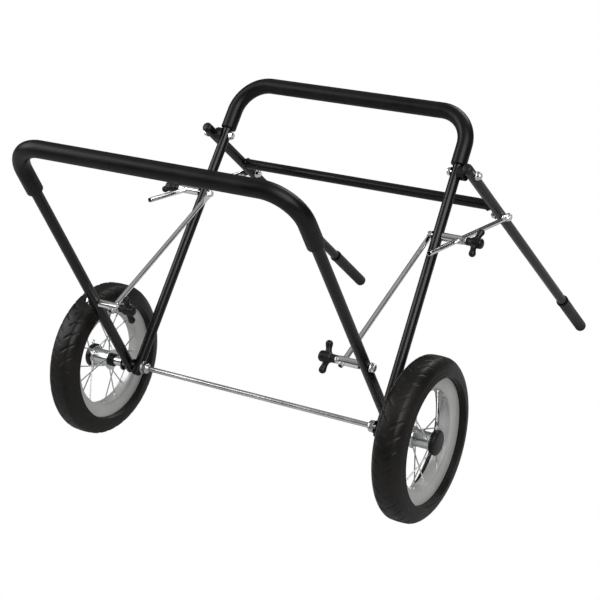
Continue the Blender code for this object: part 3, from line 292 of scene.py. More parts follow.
def finish(name):
    """A procedural finish by name, made once."""
    tubes, metal, wheel = (bpy.context.scene.trolley_frame, bpy.context.scene.trolley_metal,
                           bpy.context.scene.trolley_wheel)
    # Colour, roughness, metallic, scale and detail of the fine noise, strength and depth
    # of its bump, lowest and highest roughness, ratio of light tone to colour,
    # specular level.
    table = {
        "coat": (tubes.coat, 0.28, 0.0, 1400.0, 2.0, 0.06, 0.0002, 0.23, 0.33, 1.5, 0.35),
        "foam": (tubes.foam, 0.38, 0.0, 900.0, 6.0, 0.10, 0.0003, 0.32, 0.44, 1.6, 0.25),
        "rubber": (tubes.rubber, 0.46, 0.0, 700.0, 4.0, 0.20, 0.0003, 0.38, 0.56, 1.5, 0.3),
        "plastic": (tubes.plastic, 0.38, 0.0, 1800.0, 3.0, 0.15, 0.0002, 0.30, 0.46, 1.5, 0.4),
        "tyre": (wheel.tyre, 0.40, 0.0, 500.0, 6.0, 0.20, 0.0003, 0.32, 0.50, 1.7, 0.3),
        "chrome": (metal.chrome, 0.12, 1.0, 300.0, 4.0, 0.02, 0.0001, 0.07, 0.18, 1.06, 0.5),
        "zinc": (metal.zinc, 0.22, 1.0, 500.0, 5.0, 0.05, 0.0001, 0.16, 0.28, 1.12, 0.5),
        "rim": (wheel.rim, 0.34, 0.45, 250.0, 5.0, 0.04, 0.0001, 0.28, 0.42, 1.08, 0.5),
        "bore": ((0.10, 0.07, 0.05), 0.6, 0.2, 600.0, 4.0, 0.1, 0.0002, 0.5, 0.7, 1.3, 0.3),
    }
    (colour, rough, metallic, scale, detail, strength, distance, low, high, step,
     level) = table[name]
    made, shader = shader_of(f"dressed_{name}", colour, rough, metallic)
    if shader is None:
        return made
    shader.inputs["Specular IOR Level"].default_value = level
    fine = add_noise(made, scale, detail)
    broad = add_noise(made, 18.0, 5.0)
    add_bump(made, shader, fine.outputs["Fac"], strength, distance)
    vary(made, shader, "Roughness", broad.outputs["Fac"], low, high)
    tone(made, shader, broad.outputs["Fac"], scaled(colour, 1.0 / step), scaled(colour, step))
    return made


def make(name, builder, look, body, *nodes, sharp=35.0):
    """Make one piece from a bmesh, in its nodes' place and riding on its body."""
    bmesh.ops.remove_doubles(builder, verts=builder.verts, dist=1e-7)
    bmesh.ops.recalc_face_normals(builder, faces=builder.faces)
    data = bpy.data.meshes.new(name)
    builder.to_mesh(data)
    builder.free()
    data.materials.append(finish(look))
    data.shade_smooth()
    data.set_sharp_from_angle(angle=math.radians(sharp))
    piece = bpy.data.objects.new(name, data)
    bpy.context.scene.collection.objects.link(piece)
    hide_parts(*nodes)
    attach(piece, body)
    return piece


def helper_form(name, builder):
    """A closed form that isn't kept: a cutter, or the base of another mesh."""
    bmesh.ops.recalc_face_normals(builder, faces=builder.faces)
    data = bpy.data.meshes.new(name)
    builder.to_mesh(data)
    builder.free()
    form = bpy.data.objects.new(name, data)
    bpy.context.scene.collection.objects.link(form)
    return form


def mesh_with_modifiers(form):
    bpy.context.view_layer.update()
    graph = bpy.context.evaluated_depsgraph_get()
    return bpy.data.meshes.new_from_object(form.evaluated_get(graph))


def cut_from(target, tool):
    """Cut a helper form out of a piece."""
    modifier = target.modifiers.new("cut", "BOOLEAN")
    modifier.object = tool
    modifier.operation = "DIFFERENCE"
    modifier.solver = "EXACT"
    result = mesh_with_modifiers(target)
    target.modifiers.clear()
    result.name = target.data.name
    target.data = result
    result.shade_smooth()
    result.set_sharp_from_angle(angle=math.radians(30.0))
    bpy.data.objects.remove(tool, do_unlink=True)


def skin(builder, rings, closed=False):
    """Faces from ring to ring, with end faces or closed into a loop."""
    loops = [[builder.verts.new(point) for point in ring] for ring in rings]
    pairs = list(zip(loops[:-1], loops[1:]))
    if closed:
        pairs.append((loops[-1], loops[0]))
    for low, high in pairs:
        count = len(low)
        for index in range(count):
            after = (index + 1) % count
            builder.faces.new((low[index], low[after], high[after], high[index]))
    if not closed:
        builder.faces.new(loops[0])
        builder.faces.new(loops[-1])


def angles(sides, phase=0.5):
    return [2.0 * math.pi * (index + phase) / sides for index in range(sides)]


def ring(centre, across, up, radius, sides):
    return [centre + across * (radius * math.cos(turn)) + up * (radius * math.sin(turn))
            for turn in angles(sides)]


def round_ring(x, radius, sides):
    return [Vector((x, radius * math.cos(turn), radius * math.sin(turn)))
            for turn in angles(sides, 0.0)]


def hex_ring(x, flats, limit=None):
    sixth = math.pi / 3.0
    points = []
    for turn in angles(SMOOTH, 0.0):
        reach = flats / 2.0 / math.cos((turn % sixth) - sixth / 2.0)
        if limit:
            reach = min(reach, limit)
        points.append(Vector((x, reach * math.cos(turn), reach * math.sin(turn))))
    return points


def softened(stations, closed, cut):
    """Chamfer every corner of a turned outline."""
    count = len(stations)
    out = []
    for index, (x, r) in enumerate(stations):
        if not closed and index in (0, count - 1):
            out.append((x, r))
            continue
        before = Vector(stations[index - 1])
        after = Vector(stations[(index + 1) % count])
        here = Vector((x, r))
        for other in (before, after):
            along = other - here
            share = min(cut, 0.4 * along.length)
            if along.length > 1e-9:
                out.append(tuple(here + along.normalized() * share))
    return out


def turned_rings(at, side, stations, sides):
    return [[at + point for point in round_ring(side * x, r, sides)] for x, r in stations]


def add_turned(builder, at, side, stations, sides=SMOOTH, closed=False, cut=0.35 * MM):
    shape = softened(stations, closed, cut) if cut else stations
    skin(builder, turned_rings(at, side, shape, sides), closed)


def turned(name, at, side, stations, look, body, *nodes, sides=SMOOTH, closed=False,
           cut=0.35 * MM):
    builder = bmesh.new()
    add_turned(builder, at, side, stations, sides, closed, cut)
    make(name, builder, look, body, *nodes)


def sleeve_outline(start, end, bore, radius):
    return [(start, bore), (start, radius), (end, radius), (end, bore)]


def add_hex(builder, at, side, start, height, flats, bore=None):
    """A chamfered hexagon, with a bore through it if one is given."""
    corner = 0.985 * (flats / 2.0 / math.cos(math.pi / 6.0))
    low = 0.96 * flats / 2.0
    rings = [round_ring(side * start, low, SMOOTH)]
    for share, limit in ((0.06, corner), (0.5, None), (0.9, corner)):
        rings.append(hex_ring(side * (start + share * height), flats, limit))
    rings.append(round_ring(side * (start + height), low, SMOOTH))
    if bore:
        rings += [round_ring(side * (start + height), bore, SMOOTH),
                  round_ring(side * start, bore, SMOOTH)]
    skin(builder, [[at + point for point in points] for points in rings], closed=bool(bore))


def bolt_piece(name, at, side, start, head, washer, shank_end, flats, body, node):
    """Head, washer face and shank of a bolt as closed shapes in one piece."""
    builder = bmesh.new()
    begin = start + head
    add_hex(builder, at, side, begin, -head, flats)
    if washer:
        add_turned(builder, at, side, sleeve_outline(begin, begin + washer, BOLT, WASHER_RADIUS),
                   closed=True, cut=0.2 * MM)
    shank = BOLT - 0.01 * MM
    add_turned(builder, at, side, [(begin, shank), (shank_end, shank)], cut=0.0)
    make(name, builder, "chrome", body, node)


def nut_piece(name, at, side, start, height, flats, bore, washer, cut, look, body, node):
    """A hexagon nut with the washer under it."""
    builder = bmesh.new()
    add_turned(builder, at, side, sleeve_outline(start, start + WASHER, bore, washer),
               closed=True, cut=cut)
    add_hex(builder, at, side, start + WASHER, height, flats, bore=bore)
    make(name, builder, look, body, node)


def lean_direction(lean, forward):
    return Vector((0.0, -math.sin(lean) if forward else math.sin(lean), math.cos(lean)))


def hoop_path(half_axle, half_top, reach, leg_end, bend):
    """Points and tangents of a hoop's centre line in its own plane."""
    slope = (half_top - half_axle) / reach
    leg = Vector((slope, 1.0)).normalized()
    turn = math.acos(-leg.x)
    corner = Vector((half_top, reach))
    arc_start = corner - leg * (bend * math.tan(turn / 2.0))
    centre = arc_start + Vector((-leg.y, leg.x)) * bend
    start = Vector((half_axle + slope * leg_end, leg_end))
    half = [(start, leg)]
    for step in range(BEND_STEPS + 1):
        a = turn * step / BEND_STEPS
        tangent = Vector((leg.x * math.cos(a) - leg.y * math.sin(a),
                          leg.x * math.sin(a) + leg.y * math.cos(a)))
        half.append((centre + Vector((tangent.y, -tangent.x)) * bend, tangent))
    return half + [(Vector((-p.x, p.y)), Vector((t.x, -t.y))) for p, t in reversed(half)]


def path_rings(path, direction, radii, sides):
    normal = X_AXIS.cross(direction)
    rings = []
    for (point, tangent), radius in zip(path, radii):
        centre = AXLE + X_AXIS * point.x + direction * point.y
        outward = X_AXIS * tangent.y - direction * tangent.x
        rings.append(ring(centre, outward, normal, radius, sides))
    return rings


def beyond(path, reaches):
    """Carry a path on past both ends by a list of reaches."""
    first, tangent = path[0]
    last, back = path[-1]
    before = [(first - tangent * reach, tangent) for reach in reaches]
    after = [(last + back * reach, back) for reach in reversed(reaches)]
    return before + path + after


def build_hoop(name, size, direction, body, foam_start):
    """A bent tube with domed ends, and the foam sleeve over its top bar."""
    tubes = bpy.context.scene.trolley_frame
    radius = tubes.tube_radius
    path = hoop_path(*size, LEG_END, tubes.bend_radius)
    reaches, dome = [], []
    for step in (80.0, 60.0, 40.0, 20.0):
        reaches.append(4.0 * MM * math.sin(math.radians(step)))
        dome.append(radius * (0.45 + 0.55 * math.cos(math.radians(step))))
    builder = bmesh.new()
    skin(builder, path_rings(beyond(path, reaches), direction,
                             dome + [radius] * len(path) + dome[::-1], 40))
    make(f"{name}_tube", builder, "coat", body, name)
    foam_path = hoop_path(*size, foam_start, tubes.bend_radius)
    outer = tubes.foam_radius
    ends = [1.6 * MM, 1.2 * MM, 0.5 * MM]
    shrink = [outer - 1.6 * MM, outer - 0.5 * MM, outer - 0.1 * MM]
    outside = path_rings(beyond(foam_path, ends), direction,
                         shrink + [outer] * len(foam_path) + shrink[::-1], SMOOTH)
    inside = path_rings(beyond(foam_path, ends[:1]), direction,
                        [radius + GAP] * (len(foam_path) + 2), SMOOTH)
    builder = bmesh.new()
    skin(builder, outside + inside[::-1], closed=True)
    sleeve = make(f"{name}_foam", builder, "foam", body, name.replace("hoop", "foam_sleeve"))


def front_size():
    return (FRONT_AXLE_X, FRONT_TOP_X, bpy.context.scene.trolley_frame.front_length)


def rear_size():
    return (REAR_AXLE_X, REAR_TOP_X, bpy.context.scene.trolley_frame.rear_length)


def half_width(size, distance):
    return size[0] + (size[1] - size[0]) / size[2] * distance


def front_direction():
    return lean_direction(bpy.context.scene.trolley_frame.front_lean, True)


def rear_direction():
    return lean_direction(bpy.context.scene.trolley_frame.rear_lean, False)


def support_direction():
    lean = bpy.context.scene.trolley_frame.support_lean
    return Vector((0.0, math.sin(lean), -math.cos(lean)))


def support_axis():
    return AXLE + rear_direction() * HINGE_REACH


def rod_axis():
    return AXLE + rear_direction() * ROD_REACH


def front_clamp_axis():
    return AXLE + front_direction() * FRONT_CLAMP_REACH


def brace_axis():
    return support_axis() + support_direction() * BRACE_REACH


def v_rod_x():
    """The V rods' plane, inside the rear leg and the washer."""
    return half_width(rear_size(), ROD_REACH) - TUBE - 2.0 * GAP - WASHER - EYE_HALF_THICK


def grip_profile():
    """Outer outline of a grip from its open end."""
    out = [(0.0, GRIP_RADIUS + 0.3 * MM), (0.6 * MM, GRIP_RADIUS + 0.8 * MM),
           (4.4 * MM, GRIP_RADIUS + 0.8 * MM), (5.2 * MM, GRIP_RADIUS + 0.2 * MM),
           (6.0 * MM, GRIP_RADIUS)]
    return out + [grip_end(7.5 * step) for step in range(13)]


def grip_end(degrees):
    """A point on the rounded edge at the grip's closed end."""
    turn = math.radians(degrees)
    return (GRIP_LENGTH - GRIP_ROUNDING * (1.0 - math.sin(turn)),
            GRIP_RADIUS - GRIP_ROUNDING * (1.0 - math.cos(turn)))


def grip_start():
    """Where the grip starts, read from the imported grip's own box."""
    low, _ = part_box("grip_right")
    lean = bpy.context.scene.trolley_frame.support_lean
    drop = max(a * math.cos(lean) + r * math.sin(lean)
               for a, r in [grip_end(30.0 * step) for step in range(4)])
    return (support_axis().z - low[2] - drop) / math.cos(lean)


def along_leg(x, stations):
    direction = support_direction()
    up = direction.cross(X_AXIS)
    return [ring(support_axis() + X_AXIS * x + direction * a, up, X_AXIS, r, SMOOTH)
            for a, r in stations]


def build_support():
    """Both legs and the crossbar with its weld beads, the grips and the end plugs."""
    radius = bpy.context.scene.trolley_frame.tube_radius
    start = grip_start()
    leg_end = start + GRIP_LENGTH - GRIP_FLOOR - GAP
    builder = bmesh.new()
    for side in SIDES.values():
        skin(builder, along_leg(side * SUPPORT_X, [(LEG_TOP, radius - 0.4 * MM),
                                                   (LEG_TOP + 0.5 * MM, radius),
                                                   (leg_end, radius)]))
    centre = support_axis() + support_direction() * CROSSBAR_REACH
    face = SUPPORT_X - radius
    bead = []
    for step in range(9):
        turn = math.radians(180.0 * step / 8)
        bead.append((face - 1.6 * MM + 1.9 * MM * math.cos(turn),
                     radius + 0.2 * MM + 2.0 * MM * math.sin(turn)))
    half = [(face + 3.0 * MM, radius)] + bead
    stations = [(-x, r) for x, r in half] + half[::-1]
    skin(builder, turned_rings(centre, 1.0, stations, SMOOTH))
    make("support_tubes", builder, "coat", "support", "support_frame")
    for label, side in SIDES.items():
        outline = [(start + GRIP_LENGTH - GRIP_FLOOR, radius + GAP), (start, radius + GAP)]
        outline += [(start + a, r) for a, r in grip_profile()]
        builder = bmesh.new()
        skin(builder, along_leg(side * SUPPORT_X, outline))
        make(f"grip_sleeve_{label}", builder, "rubber", "support", f"grip_{label}")
        plug = [(LEG_TOP + 10.0 * MM, radius - PLUG_INSET), (LEG_TOP - GAP, radius - PLUG_INSET),
                (LEG_TOP - GAP, radius)]
        for step in range(1, 10):
            turn = math.radians(9.5 * step)
            plug.append((LEG_TOP - 0.8 * MM - 5.3 * MM * math.sin(turn),
                         radius * math.cos(turn) ** 0.6))
        builder = bmesh.new()
        skin(builder, along_leg(side * SUPPORT_X, plug))
        make(f"leg_cap_{label}", builder, "plastic", "support", f"support_leg_plug_{label}")


def slot_ring(centre, across, wide, thick):
    points = []
    for turn in angles(32):
        shift = math.copysign(wide - thick, math.cos(turn))
        points.append(centre + across * (shift + thick * math.cos(turn))
                      + X_AXIS * (thick * math.sin(turn)))
    return points


def build_rod(name, node, eye, towards, eye_x, tube_x, reach, body):
    """A tube with an open far end, flattened round its bolt into an eye."""
    radius = bpy.context.scene.trolley_metal.rod_radius
    along = (towards - eye).normalized()
    across = along.cross(X_AXIS)
    outline = []
    for step in range(8):
        turn = math.radians(84.0 - 12.0 * step)
        outline.append((-EYE_HALF_WIDTH * math.sin(turn),
                        max(EYE_HALF_WIDTH * math.cos(turn), EYE_HALF_THICK), EYE_HALF_THICK))
    for step in range(13):
        share = step / 12.0
        ease = share * share * (3.0 - 2.0 * share)
        outline.append((EYE_END + EYE_FLARE * share,
                        EYE_HALF_WIDTH + (radius - EYE_HALF_WIDTH) * ease,
                        EYE_HALF_THICK + (radius - EYE_HALF_THICK) * ease))
    bore = radius - ROD_WALL
    outline += [(reach - 0.3 * MM, radius, radius), (reach, radius - 0.3 * MM, radius - 0.3 * MM),
                (reach, bore, bore), (BORE_DEPTH, bore, bore)]
    rings = []
    for distance, wide, thick in outline:
        share = min(max((distance - EYE_END) / EYE_FLARE, 0.0), 1.0)
        x = eye_x + (tube_x - eye_x) * share
        rings.append(slot_ring(eye + X_AXIS * x + along * distance, across, wide, thick))
    builder = bmesh.new()
    skin(builder, rings)
    rod = make(name, builder, "chrome", body, node)
    rod.data.materials.append(finish("bore"))
    for face in rod.data.polygons:
        middle = face.center - (eye + X_AXIS * tube_x)
        off = middle - along * middle.dot(along)
        inside = off.length < radius - 0.5 * MM and middle.dot(along) > BORE_DEPTH - 5.0 * MM
        if inside and (face.normal.dot(off) <= 0.0 or off.length < 0.5 * MM):
            face.material_index = 1


def build_rods():
    for label, side in SIDES.items():
        build_rod(f"v_rod_tube_{label}", f"v_rod_{label}", rod_axis(), front_clamp_axis(),
                  side * v_rod_x(), side * v_rod_x(), V_ROD_LENGTH, f"v_rod_{label}_body")
        build_rod(f"brace_tube_{label}", f"brace_rod_{label}", brace_axis(), rod_axis(),
                  side * BRACE_EYE_X, side * BRACE_ROD_X, BRACE_LENGTH, f"brace_{label}_body")


def clamp_data(label, kind):
    """A clamp's seat face, outward sign, rod plane, own axis and its rod's far axis."""
    side = SIDES[label]
    if kind == "front":
        seat = side * (half_width(front_size(), FRONT_CLAMP_REACH) - TUBE)
        return seat, -side, side * v_rod_x(), front_clamp_axis(), rod_axis()
    seat = side * (half_width(rear_size(), ROD_REACH) + TUBE)
    return seat, side, side * BRACE_ROD_X, rod_axis(), brace_axis()


def build_clamp(label, kind):
    """A clamp barrel with the hole for its rod. Returns the x of its outer face."""
    seat, out, rod_x, axis, far = clamp_data(label, kind)
    base = seat + out * GAP
    reach = abs(rod_x - base) + CLAMP_BEYOND_ROD
    outline = [(0.0, CLAMP_RADIUS - 1.0 * MM), (0.8 * MM, CLAMP_RADIUS),
               (reach - 0.9 * MM, CLAMP_RADIUS), (reach, CLAMP_RADIUS - 0.9 * MM)]
    builder = bmesh.new()
    skin(builder, turned_rings(axis + X_AXIS * base, out, outline, 64))
    clamp = make(f"{kind}_clamp_body_{label}", builder, "chrome",
                 f"{kind}_clamp_{label}_body", f"{kind}_clamp_{label}")
    along = (far - axis).normalized()
    centre = axis + X_AXIS * rod_x
    cutter = bmesh.new()
    skin(cutter, [ring(centre + along * d, X_AXIS, along.cross(X_AXIS), ROD_HOLE, SMOOTH)
                  for d in (-20.0 * MM, 20.0 * MM)])
    cut_from(clamp, helper_form("cutter", cutter))
    return base + out * reach


def knob_shape():
    """The moulded thumb screw head along +X with its lobes along Z."""
    builder = bmesh.new()
    hub = [(0.0, 7.2 * MM), (0.5 * MM, 7.5 * MM), (7.0 * MM, 7.5 * MM), (9.0 * MM, 8.0 * MM),
           (12.0 * MM, 10.0 * MM), (27.5 * MM, 10.0 * MM), (30.0 * MM, 9.2 * MM),
           (31.8 * MM, 7.2 * MM), (32.7 * MM, 4.5 * MM), (33.0 * MM, 2.0 * MM)]
    skin(builder, [round_ring(x, r, SMOOTH) for x, r in hub])
    for way in (-1.0, 1.0):
        root = Vector((15.5 * MM, 0.0, 0.0))
        end = Vector((20.0 * MM, 0.0, way * bpy.context.scene.trolley_metal.lobe_reach))
        along = (end - root).normalized()
        span = (end - root).length
        stations = [(0.0, 7.6 * MM), (0.25 * span, 6.6 * MM), (0.45 * span, 5.6 * MM),
                    (0.65 * span, 5.3 * MM), (0.82 * span, 5.9 * MM), (span, LOBE_RADIUS)]
        for step in range(1, 7):
            turn = math.radians(13.5 * step)
            stations.append((span + LOBE_RADIUS * math.sin(turn), LOBE_RADIUS * math.cos(turn)))
        skin(builder, [ring(root + along * d, Y_AXIS, along.cross(Y_AXIS), r, 32)
                       for d, r in stations])
    form = helper_form("knob_form", builder)
    remesh = form.modifiers.new("remesh", "REMESH")
    remesh.mode = "VOXEL"
    remesh.voxel_size = KNOB_VOXEL
    smooth = form.modifiers.new("smooth", "SMOOTH")
    smooth.factor = 0.5
    smooth.iterations = 5
    result = mesh_with_modifiers(form)
    bpy.data.objects.remove(form, do_unlink=True)
    result.materials.clear()
    result.materials.append(finish("plastic"))
    result.shade_smooth()
    return result


def build_knob(label, kind, end, form):
    """The steel screw with its collar, and a copy of the moulded head."""
    _, out, rod_x, axis, _ = clamp_data(label, kind)
    body = f"{kind}_thumb_screw_{label}"
    at = axis + X_AXIS * end
    tip = abs(end - rod_x) - ROD_HOLE
    builder = bmesh.new()
    add_turned(builder, at, out, [(-tip, SCREW), (SCREW_LENGTH, SCREW)], cut=0.0)
    add_hex(builder, at, out, GAP, COLLAR_HEIGHT, BOLT_FLATS, bore=SCREW_BORE)
    make(f"{kind}_screw_steel_{label}", builder, "zinc", body, f"{kind}_screw_{label}")
    turn = math.radians(KNOB_TURNS[kind, label])
    facing = Matrix.Rotation(0.0 if out > 0.0 else math.pi, 4, "Z")
    place = Matrix.Translation(at + X_AXIS * out * KNOB_SEAT) @ Matrix.Rotation(-turn, 4, "X")
    data = form.copy()
    data.name = f"{kind}_knob_grip_{label}"
    data.transform(place @ facing)
    knob = bpy.data.objects.new(data.name, data)
    bpy.context.scene.collection.objects.link(knob)
    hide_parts(f"{kind}_knob_{label}")
    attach(knob, body)


def build_fasteners():
    """Bolts, nuts and washers of the support hinge, rods, front clamps and braces."""
    for label, side in SIDES.items():
        rear = half_width(rear_size(), ROD_REACH)
        front = half_width(front_size(), FRONT_CLAMP_REACH)
        inner = half_width(rear_size(), HINGE_REACH) - TUBE - GAP
        outer = SUPPORT_X + TUBE + GAP
        shows = WASHER + NUT_HEIGHT + BOLT_SHOWS
        bolt_piece(f"hinge_bolt_{label}", support_axis(), side, inner - BOLT_HEAD - WASHER,
                   BOLT_HEAD, WASHER, outer + shows, BOLT_FLATS, "rear_frame",
                   f"pivot_bolt_{label}")
        nut_piece(f"hinge_nut_{label}", support_axis(), side, outer, NUT_HEIGHT, BOLT_FLATS,
                  BOLT_HOLE, WASHER_RADIUS, 0.2 * MM, "chrome", "rear_frame",
                  f"pivot_nut_{label}")
        bolt_piece(f"rod_bolt_{label}", rod_axis(), side,
                   v_rod_x() - EYE_HALF_THICK - GAP - ROD_BOLT_HEAD, ROD_BOLT_HEAD, 0.0,
                   rear + TUBE, ROD_BOLT_FLATS, "rear_frame", f"rod_pivot_bolt_{label}")
        washer = v_rod_x() + EYE_HALF_THICK + GAP
        turned(f"rod_washer_{label}", rod_axis(), side,
               sleeve_outline(washer, washer + WASHER, BOLT_HOLE, EYE_HALF_WIDTH), "zinc",
               "rear_frame", f"rod_pivot_washer_{label}", closed=True, cut=0.15 * MM)
        bolt_piece(f"clamp_nut_bolt_{label}", front_clamp_axis(), -side,
                   -(front + TUBE + GAP + NUT_HEIGHT + WASHER), NUT_HEIGHT, WASHER,
                   -(front - TUBE), BOLT_FLATS, "front_frame", f"clamp_bolt_{label}")
        eye = SUPPORT_X + TUBE + 2.0 * (GAP + EYE_HALF_THICK)
        seat = SUPPORT_X - TUBE - GAP
        bolt_piece(f"brace_hex_bolt_{label}", brace_axis(), -side,
                   -(eye + BOLT_HEAD + WASHER), BOLT_HEAD, WASHER, shows - seat, BOLT_FLATS,
                   "support", f"brace_bolt_{label}")
        nut_piece(f"brace_hex_nut_{label}", brace_axis(), -side, -seat, NUT_HEIGHT, BOLT_FLATS,
                  BOLT_HOLE, WASHER_RADIUS, 0.2 * MM, "chrome", "support",
                  f"brace_nut_{label}")


def build_axle():
    """The axle with its latch grooves, and its nuts, leg rings and hub sleeves."""
    nut_face = REAR_AXLE_X - TUBE - GAP
    start = nut_face - WASHER - AXLE_NUT_HEIGHT - 2.0 * MM
    groove = LATCH_START - 0.4 * MM
    end = LATCH_START + 5.6 * MM
    half = [(start, AXLE_RADIUS - 1.0 * MM), (start, AXLE_RADIUS), (groove, AXLE_RADIUS),
            (groove, GROOVE_RADIUS), (groove + GROOVE_WIDTH, GROOVE_RADIUS),
            (groove + GROOVE_WIDTH, AXLE_RADIUS), (end - 1.0 * MM, AXLE_RADIUS),
            (end, AXLE_RADIUS - 1.0 * MM)]
    stations = [(-x, r) for x, r in half[::-1]] + half
    turned("axle_bar", AXLE, 1.0, stations, "zinc", "rear_frame", "axle_rod", cut=0.2 * MM)
    for label, side in SIDES.items():
        nut_piece(f"axle_hex_nut_{label}", AXLE, -side, -nut_face, AXLE_NUT_HEIGHT,
                  AXLE_NUT_FLATS, AXLE_BORE, AXLE_WASHER, 0.3 * MM, "zinc", "rear_frame",
                  f"axle_nut_{label}")
        between = REAR_AXLE_X + TUBE + GAP
        turned(f"leg_ring_{label}", AXLE, side,
               sleeve_outline(between, FRONT_AXLE_X - TUBE - GAP, AXLE_BORE, AXLE_WASHER),
               "plastic", "rear_frame", f"leg_spacer_{label}", closed=True)
        first, last = FRONT_AXLE_X + TUBE + GAP, BUSH_START - GAP
        turned(f"hub_sleeve_{label}", AXLE, side,
               [(first, AXLE_BORE), (first, 15.0 * MM), (first + WASHER, 15.0 * MM),
                (first + WASHER, 9.0 * MM), (last, 9.0 * MM), (last, AXLE_BORE)], "chrome",
               "rear_frame", f"hub_spacer_{label}", closed=True)


def tread_depth(x, turn):
    """How far a chevron groove cuts into the crown at one place."""
    across = abs(x) / TREAD_HALF
    if not TREAD_RIB < across < 1.0:
        return 0.0
    phase = turn * TREAD_PITCHES / (2.0 * math.pi) + TREAD_SWEEP * across
    phase += 0.5 if x > 0.0 else 0.0
    share = max(0.0, 1.0 - abs(phase % 1.0 - 0.5) / TREAD_GROOVE)
    fade = min(1.0, (1.0 - across) / TREAD_FADE, (across - TREAD_RIB) / TREAD_RIB)
    return TREAD_DEPTH * fade * share * share * (3.0 - 2.0 * share)


def tyre_profile():
    """The tyre's section: crown, sidewall with two moulded ribs, and bead."""
    middle = bpy.context.scene.trolley_wheel.radius - TYRE_HEIGHT
    half = []
    for step in range(42):
        turn = math.radians(2.0 * step)
        rib = 0.5 * MM if step in (33, 34, 37, 38) else 0.0
        half.append((9.0 * MM * min(1.0, step / 6.0) + (22.0 * MM - rib) * math.sin(turn),
                     middle + (TYRE_HEIGHT - 0.05 * MM - rib) * math.cos(turn)))
    half += [(30.2 * MM, 0.1166), (28.8 * MM, 0.1161), (20.0 * MM, 0.1161),
             (17.4 * MM, 0.1163), (11.5 * MM, 0.1180)]
    return half + [(-x, r) for x, r in reversed(half[1:])]


def rim_profile():
    """The rim's section: the inside with both lips, and back over the outside."""
    inner = [(17.0 * MM, 0.1160), (17.4 * MM, 0.1150), (17.0 * MM, 0.1135),
             (13.2 * MM, 0.0965), (12.2 * MM, 0.0935), (10.6 * MM, 0.0912), (8.0 * MM, 0.0905)]
    outer = [(15.2 * MM, 0.1160), (11.6 * MM, 0.0975), (9.6 * MM, 0.0940), (6.0 * MM, 0.0925)]
    inside = inner + [(-x, r) for x, r in reversed(inner)]
    outside = outer + [(-x, r) for x, r in reversed(outer)]
    return inside + outside[::-1]


def build_tyre(label, centre, side, body):
    """The tyre, with its grooves cut into a finely divided ring."""
    rings = []
    for x, r in tyre_profile():
        loop = []
        for turn in angles(TREAD_PITCHES * TREAD_STEPS, 0.0):
            reach = r - tread_depth(x, turn) if r > TREAD_EDGE else r
            loop.append(centre + Vector((side * x, reach * math.cos(turn),
                                         reach * math.sin(turn))))
        rings.append(loop)
    builder = bmesh.new()
    skin(builder, rings, closed=True)
    make(f"tyre_ring_{label}", builder, "tyre", body, f"tyre_{label}", sharp=50.0)


def build_rim(label, centre, side, body):
    builder = bmesh.new()
    skin(builder, turned_rings(centre, side, rim_profile(), 144), closed=True)
    make(f"rim_ring_{label}", builder, "rim", body, f"rim_{label}", sharp=28.0)


def spoke_lines(side):
    """Both ends of the sixteen spokes, eight crossing ones from each flange."""
    lines = []
    for flange in (0, 1):
        inwards = 1.0 if flange == 0 else -1.0
        flange_x = (HUB_START + 1.3 * MM) if flange == 0 else (HUB_END - 1.3 * MM)
        rim_x = WHEEL_CENTRE - inwards * 3.0 * MM
        for index in range(8):
            way = 1.0 if index % 2 else -1.0
            hub_x = flange_x + (inwards * 1.8 * MM if way > 0.0 else 0.0)
            rim_turn = 2.0 * math.pi * (index // 2 + 0.5 * flange) / 4
            rim_turn += way * math.pi / 16.0
            hub_turn = rim_turn - way * SPOKE_SWEEP
            start = Vector((side * hub_x, SPOKE_AT_HUB * math.cos(hub_turn),
                            SPOKE_AT_HUB * math.sin(hub_turn)))
            end = Vector((side * rim_x, SPOKE_AT_RIM * math.cos(rim_turn),
                          SPOKE_AT_RIM * math.sin(rim_turn)))
            lines.append((AXLE + start, AXLE + end))
    return lines


